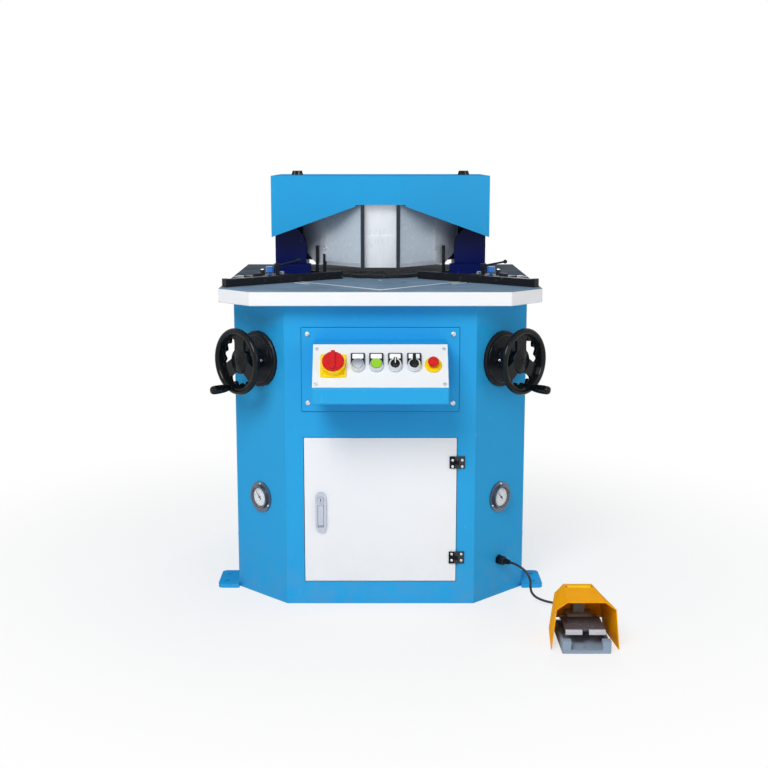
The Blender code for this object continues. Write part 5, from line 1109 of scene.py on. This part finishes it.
class NOTCHER_OT_handwheels(Operator):
    """Shapes the two dished handwheels, their finger scallops, hubs and turning grips"""
    bl_idname = "notcher.handwheels"
    bl_label = "Handwheels"

    def execute(self, context):
        for side, name in SIDES:
            place = corner(side, WHEEL_Z)
            lean = math.radians(-90 + 15 * side)
            seat = moved(place, GRIP_ORBIT * math.cos(lean), GRIP_ORBIT * math.sin(lean))
            self.replace(self.wheel(place, seat), "wheel_shape_" + name, "handwheel_" + name,
                         0.0012)
            self.replace(self.grip(seat), "grip_shape_" + name, "grip_" + name, 0.0)
        return {"FINISHED"}

    def replace(self, shape, name, solid, bevel):
        """Puts a piece in a solid's place, with its material and on its body."""
        shape.made(name, NODES[solid].data.materials[0], solid, slot="black_plastic",
                   bevel=bevel, replaces=(solid,))

    def wheel(self, place, seat):
        """Round rim, scalloped web, three flared spokes, hub and the grip's boss."""
        low, high = WEB_PLANE - WEB_HALF, WEB_PLANE + WEB_HALF
        wheel = Shape()
        rim = [(RIM_RADIUS + RIM_THICK * math.cos(turn), RIM_PLANE + RIM_THICK * math.sin(turn))
               for turn in (math.pi - math.pi * 1.5 * i / 15 for i in range(16))]
        wheel.lathe([(0.0735, low), (0.0735, high), *rim, (0.0735, low)], place, 96)
        count = sizes().scallops
        inner = ring(0.0672, 12 * count, count, 0.0048)
        outer = ring(0.0745, 12 * count)
        wheel.bands([wheel.points(flat, place, height) for flat, height in
                     ((outer, low), (inner, low), (inner, high), (outer, high))])
        half = [(0.018, 0.0235), (0.032, 0.0205), (0.048, 0.0200), (0.058, 0.0215),
                (0.065, 0.0250), (0.0715, 0.0300)]
        outline = half + [(x, -y) for x, y in reversed(half)]
        for turn in (90, 210, 330):
            wheel.plate(outline, low + 0.0008, high - 0.0008, turned(place, turn))
        above = [(0, 0.0012), (0.0068, 0.0012), (0.0074, -0.0006), (0.0092, -0.0006),
                 (0.0100, 0.0004), (0.0130, -0.0006), (0.0185, -0.0028), (0.0240, -0.0048)]
        wheel.lathe([*((radius, HUB_END + out) for radius, out in above),
                     (0.0300, high + 0.0002), (0.0345, high - 0.0008), (0.0360, high - 0.0020),
                     (0.0360, low + 0.0012), (0.0300, low + 0.0002), (0.0240, low - 0.003),
                     (0.0240, 0.0473), (0.0230, 0.0463), (0.0120, 0.0463), (0.0120, -0.060),
                     (0, -0.060)], place, 64)
        return wheel.lathe([(0, GRIP_SEAT), (0.0075, GRIP_SEAT), (0.0083, GRIP_SEAT - 0.0010),
                            (0.0088, WEB_PLANE), (0, WEB_PLANE)], seat, 32)

    def grip(self, seat):
        """A turned grip: slim neck, full belly and a rounded end."""
        length, start = sizes().grip_length, GRIP_SEAT + 0.0003
        shares = ((0.55, 0.0), (0.62, 0.01), (0.64, 0.06), (0.72, 0.13), (0.84, 0.24),
                  (0.93, 0.38), (0.98, 0.55), (1.0, 0.74), (0.98, 0.86), (0.93, 0.93),
                  (0.80, 0.98), (0.56, 0.998), (0.0, 1.0))
        profile = [(0.0, start)]
        profile += [(0.0125 * wide, start + length * share) for wide, share in shares]
        return Shape().lathe(profile, seat, 48)


class NOTCHER_OT_fittings(Operator):
    """Adds the small fittings: flange lips, set screws, gland nut, key slot and shield strip"""
    bl_idname = "notcher.fittings"
    bl_label = "Small Fittings"

    def execute(self, context):
        black = moulded("fitting_black", linear(16, 19, 24), roughness=0.3,
                        Specular_IOR_Level=0.2)
        bright = plated("fitting_chrome", linear(222, 226, 230), roughness=0.14, size=0.003)
        for side, name in SIDES:
            self.flange(side, name, black, bright)
        self.gland(black)
        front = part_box("latch_button")[0][1]
        Shape().plate(rounded_outline(0.0018, 0.0090, 0.0008, 3), UNDER, -UNDER,
                      forward(LATCH_X, front, LATCH_Z)).made(
            "key_slot", black, "latch_button", slot="black_steel")
        self.shield(black)
        return {"FINISHED"}

    def flange(self, side, name, black, bright):
        """Turned lip of the wheel's flange, and the set screw in its boss."""
        Shape().lathe([(0.0655, 0.0001), (0.0660, 0.0014), (0.0674, 0.0019), (0.0688, 0.0014),
                       (0.0693, 0.0001)], corner(side, WHEEL_Z, FLANGE_FACE), 72).made(
            "flange_lip_" + name, black, slot="black_steel")
        boss = corner(side, WHEEL_Z, FLANGE_FACE + 0.0060)
        inward = Vector((-side, 0, 0))
        Shape().screw(facing(boss @ (inward * 0.0298), boss.to_3x3() @ inward), 0.0042, 0.0016,
                      0.5).made("set_screw_" + name, bright, slot="chrome")

    def gland(self, black):
        """Fluted clamping nut and strain-relief rings of the cord's gland."""
        place = corner(1, GLAND_Z)
        nut = Shape().lathe([(0.0098, 0.0086), (0.0125, 0.0090), (0.0128, 0.0200),
                             (0.0118, 0.0235), (0.0090, 0.0250), (0.0080, 0.0250)],
                            place, 96, lobes=16, depth=0.0005)
        for i in range(4):
            height, reach = 0.0285 + 0.0037 * i, 0.0088 - 0.0006 * i
            nut.lathe([(reach - 0.0014, height - 0.0010), (reach, height - 0.0008),
                       (reach, height + 0.0008), (reach - 0.0014, height + 0.0010)], place, 32)
        nut.made("gland_nut", black, slot="black_plastic")

    def shield(self, black):
        """Strip across the rear of the foot switch's shield, and its two black rivets."""
        top = Matrix.Translation(SHIELD_TOP)
        Shape().plate(rounded_outline(0.062, 0.013, 0.001), 0, 0.0028, top, bevel=0.0006).made(
            "shield_strip", cast_paint("strip_yellow", linear(255, 214, 24), worn=0.1),
            slot="orange_paint")
        rivets = Shape()
        for x in (-0.0345, 0.0345):
            rivets.lathe([(0, 0.0018), (0.0014, 0.0016), (0.0022, 0.0006), (0.0024, 0), (0, 0)],
                         moved(top, x, 0.003), 20)
        rivets.made("shield_rivets", black, slot="black_steel")


class NOTCHER_OT_devices(Operator):
    """Finishes the faceplate's devices: label cards, rings, figures and marks"""
    bl_idname = "notcher.devices"
    bl_label = "Faceplate Devices"

    def execute(self, context):
        card = moulded("label_card", linear(244, 246, 248), roughness=0.4, coat=0.1)
        rim = moulded("bezel_rim", linear(44, 50, 58), roughness=0.3)
        bright = moulded("ring_satin", linear(216, 222, 228), roughness=0.24, coat=0.5)
        black = moulded("printed_black", linear(18, 18, 20), roughness=0.5, coat=0.0)
        cards, rims, feet, rings = Shape(), Shape(), Shape(), Shape()
        top = FACE_TOP + 0.006
        for x, radius in zip(DEVICE_PLACES, DEVICE_RADII):
            self.bezel(faceplate(x, DEVICE_UP, top), radius, rims, feet, rings)
            cards.plate(rounded_outline(0.0295, 0.0145, 0.0022), top, top + 0.0006,
                        faceplate(x, DEVICE_UP + 0.0270), bevel=0.0002)
        for shape, name, material, slot in (
                (cards, "label_cards", card, "white_paint"),
                (rims, "bezel_rims", rim, "black_plastic"),
                (feet, "bezel_feet", bright, "chrome"),
                (rings, "bezel_rings", bright, "chrome")):
            shape.made(name, material, slot=slot)
        self.marks(card)
        figures = Shape()
        across, up = MAIN_SWITCH
        for sign, figure in ((-1, "I"), (1, "0")):
            figures.lettering(figure, 0.008,
                              faceplate(across + sign * 0.0285, up - 0.0270, FACE_TOP + 0.0044))
        figures.made("main_switch_figures", black, slot="black_plastic")
        return {"FINISHED"}

    def bezel(self, at, radius, rims, feet, rings):
        """A device's round-footed frame in two beads, and the ring about its button."""
        foot = [(BEZEL_HALF * math.cos(turn), BEZEL_HALF * math.sin(turn))
                for turn in (math.pi + math.pi * i / 20 for i in range(21))]
        half = [(BEZEL_HALF, 0.0330), (0.0172, 0.0356), (0.0152, 0.0364)]
        frame = [foot[-1], *half, *((-u, v) for u, v in reversed(half)), foot[0]]
        out = at.to_3x3() @ Vector((0, 0, 1))
        for shape, outline in ((rims, frame), (feet, foot)):
            shape.sweep([at @ Vector((u, v, 0)) for u, v in outline], ring(0.0010, 8), out)
        inner, outer = radius + 0.0005, 0.0163
        rings.lathe([(inner, 0.0002), (inner, 0.0082), (inner + 0.0006, 0.0088),
                     (outer - 0.0006, 0.0088), (outer, 0.0080), (0.0176, 0.0012),
                     (0.0178, 0.0002), (inner, 0.0002)], at, 48)

    def marks(self, card):
        """A white line on one selector and a yellow dot by the other."""
        Shape().plate(rounded_outline(0.0022, 0.017, 0.0008), 0, 0.0003,
                      faceplate(DEVICE_PLACES[2], DEVICE_UP + 0.0015, FACE_TOP + 0.0301)).made(
            "selector_line", card, "selector_inner", slot="white_paint")
        yellow = moulded("mark_yellow", linear(206, 220, 40), roughness=0.4)
        place = faceplate(DEVICE_PLACES[3] + 0.0145, DEVICE_UP - 0.0035, FACE_TOP + 0.0149)
        Shape().lathe([(0, 0.0022), (0.0016, 0.002), (0.0022, 0.0012), (0.0022, 0), (0, 0)],
                      place, 24).made("selector_dot", yellow, slot="yellow_plastic")


class NOTCHER_OT_painted_shadow(Operator):
    """Lays a dark strip behind the edges of the mounting plate: a painted shadow line along its
    seam
    """
    bl_idname = "notcher.gasket"
    bl_label = "Plate Edge Shadow"

    def execute(self, context):
        low, high = (Vector(point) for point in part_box("control_box"))
        # A dark blue for the painted shadow line.
        shadow_colour = moulded("edge_shadow_dark", linear(10, 58, 116), roughness=0.7, coat=0.0,
                       Specular_IOR_Level=0.1)
        half, top = PLATE_HALF[0], low.z + PLATE_HALF[1] * 2
        route = [Vector((x, high.y - 0.0015, z)) for x, z in
                 ((-half, low.z), (half, low.z), (half, top), (-half, top))]
        strip = Shape()
        for first, last in zip(route, route[1:] + route[:1]):
            strip.sweep([first, last], ring(0.0012, 8), (0, -1, 0))
        strip.made("plate_edge_shadow", shadow_colour, slot="cord_rubber")
        return {"FINISHED"}


class NOTCHER_OT_gauges(Operator):
    """Draws the dials of the two pressure gauges with their surrounds, graduations and numbers"""
    bl_idname = "notcher.gauges"
    bl_label = "Gauge Dials"

    def execute(self, context):
        card = moulded("dial_white", linear(240, 246, 250), roughness=0.45, coat=0.0)
        ink = moulded("dial_ink", linear(24, 26, 30), roughness=0.5, coat=0.0)
        dark = plated("dial_surround", linear(58, 62, 76), roughness=0.4)
        for side, name in SIDES:
            face = corner(side, GAUGE_Z, GAUGE_FLOOR)
            Shape().lathe([(0, 0.0002), (0.0294, 0.0002), (0.0296, 0), (0, 0)], face, 64).made(
                "gauge_dial_" + name, card, slot="white_paint")
            Shape().lathe([(0.0258, 0.0002), (0.0262, 0.0007), (0.0292, 0.0032),
                           (0.0296, 0.0030), (0.0296, 0.0002)], face, 72).made(
                "gauge_surround_" + name, dark, slot="black_steel")
            self.marks(face).made("gauge_marks_" + name, ink, slot="black_plastic")
        return {"FINISHED"}

    def marks(self, face):
        """Fifty-one graduations over 270 degrees, a number at each tenth, and the unit."""
        marks = Shape()
        for step in range(51):
            long = 0.0034 if step % 10 == 0 else 0.0024 if step % 5 == 0 else 0.0014
            wide = 0.0003 if step % 5 else 0.0005
            spoke = turned(face, 225 - 270 * step / 50)
            marks.plate(rounded_outline(long, wide, 0.0001, 1), 0, 0.0002,
                        moved(spoke, GAUGE_MARK_REACH - long / 2, 0, -UNDER))
            if step % 10 == 0:
                upright = face.to_3x3().to_4x4()
                upright.translation = moved(spoke, GAUGE_NUMBER_REACH, 0, -UNDER).translation
                marks.lettering(str(step // 2), 0.0034, upright, 0.0002)
        return marks.lettering("MPa", 0.0028, moved(face, 0, GAUGE_UNIT_UP, -UNDER), 0.0002)


class NOTCHER_OT_switchgear(Operator):
    """Puts fronts, terminals and wires on the devices behind the door"""
    bl_idname = "notcher.switchgear"
    bl_label = "Switchgear"

    def execute(self, context):
        dark = moulded("device_dark", linear(34, 38, 44), roughness=0.4, coat=0.1)
        pale = moulded("device_pale", linear(214, 218, 220), roughness=0.4, coat=0.1)
        brass = plated("terminal_brass", linear(206, 186, 122), roughness=0.3, size=0.004)
        steps, noses, levers, screws = Shape(), Shape(), Shape(), Shape()
        for count, level in DEVICE_ROWS:
            for x in device_places(count):
                front = forward(x, DEVICE_FRONT, level)
                for up in (-TERMINAL_UP, TERMINAL_UP):
                    steps.plate(rounded_outline(0.040, 0.012, 0.001, 2), UNDER, 0.0010,
                                moved(front, 0, up), bevel=0.0003)
                    for across in TERMINALS:
                        screws.screw(moved(front, across, up, 0.0010), 0.0028, 0.0012)
                noses.plate(rounded_outline(0.036, 0.040, 0.0015, 3), UNDER, 0.0050, front,
                            bevel=0.0008)
                wide = 0.026 if level > BREAKERS_FROM else 0.009
                levers.plate(rounded_outline(wide, 0.009, 0.0012, 3), UNDER, 0.0045,
                             moved(front, 0, 0.004, 0.0050), bevel=0.0008)
        for shape, name, material, slot in (
                (steps, "terminal_rows", dark, "black_plastic"),
                (noses, "device_noses", pale, "grey_plastic"),
                (levers, "device_levers", dark, "black_plastic"),
                (screws, "terminal_screws", brass, "bright_steel")):
            shape.made(name, material, slot=slot)
        self.wires()
        return {"FINISHED"}

    def wires(self):
        """Single wires from one row of devices to the next."""
        cover = moulded("wire_black", linear(22, 24, 28), roughness=0.45, coat=0.05)
        wires = Shape()
        bow = Vector((0, -0.006, 0))
        level = DEVICE_FRONT + 0.006
        for (below, low), (above, high) in zip(DEVICE_ROWS, DEVICE_ROWS[1:]):
            shared = min(below, above)
            feet = device_places(below)[(below - shared) // 2:]
            heads = device_places(above)[(above - shared) // 2:]
            for start, end in list(zip(feet, heads))[:shared]:
                for across in TERMINALS:
                    foot = Vector((start + across, level, low + WIRE_UP))
                    head = Vector((end + across, level, high - WIRE_UP))
                    bends = (foot.lerp(head, share) + bow for share in (0.3, 0.7))
                    route, _ = smooth_route([foot, *bends, head], 0.003)
                    wires.sweep(route, ring(0.0013, 8), (1, 0, 0))
        wires.made("device_wires", cover, slot="black_plastic")


class NOTCHER_PT_panel(Panel):
    """Lists the notcher's pieces in the sidebar"""
    bl_idname = "NOTCHER_PT_panel"
    bl_label = "Notcher"
    bl_space_type = "VIEW_3D"
    bl_region_type = "UI"
    bl_category = "Notcher"

    def draw(self, context):
        for settings in (colours(), sizes()):
            for name in settings.__annotations__:
                self.layout.prop(settings, name)
        for kind in OPERATORS:
            self.layout.operator(kind.bl_idname)


OPERATORS = (NOTCHER_OT_stage, NOTCHER_OT_cord, NOTCHER_OT_finishes, NOTCHER_OT_fasteners,
             NOTCHER_OT_handwheels, NOTCHER_OT_fittings, NOTCHER_OT_devices,
             NOTCHER_OT_painted_shadow, NOTCHER_OT_gauges, NOTCHER_OT_switchgear)
CLASSES = (NotcherColours, NotcherSizes, *OPERATORS, NOTCHER_PT_panel)


def register():
    for kind in CLASSES:
        bpy.utils.register_class(kind)
    bpy.types.Scene.notcher_colours = PointerProperty(type=NotcherColours)
    bpy.types.Scene.notcher_sizes = PointerProperty(type=NotcherSizes)


def unregister():
    del bpy.types.Scene.notcher_sizes
    del bpy.types.Scene.notcher_colours
    for kind in reversed(CLASSES):
        bpy.utils.unregister_class(kind)


def main():
    """Makes the whole scene."""
    register()
    for kind in OPERATORS:
        group, name = kind.bl_idname.split(".")
        getattr(getattr(bpy.ops, group), name)()


if __name__ == "__main__":
    main()
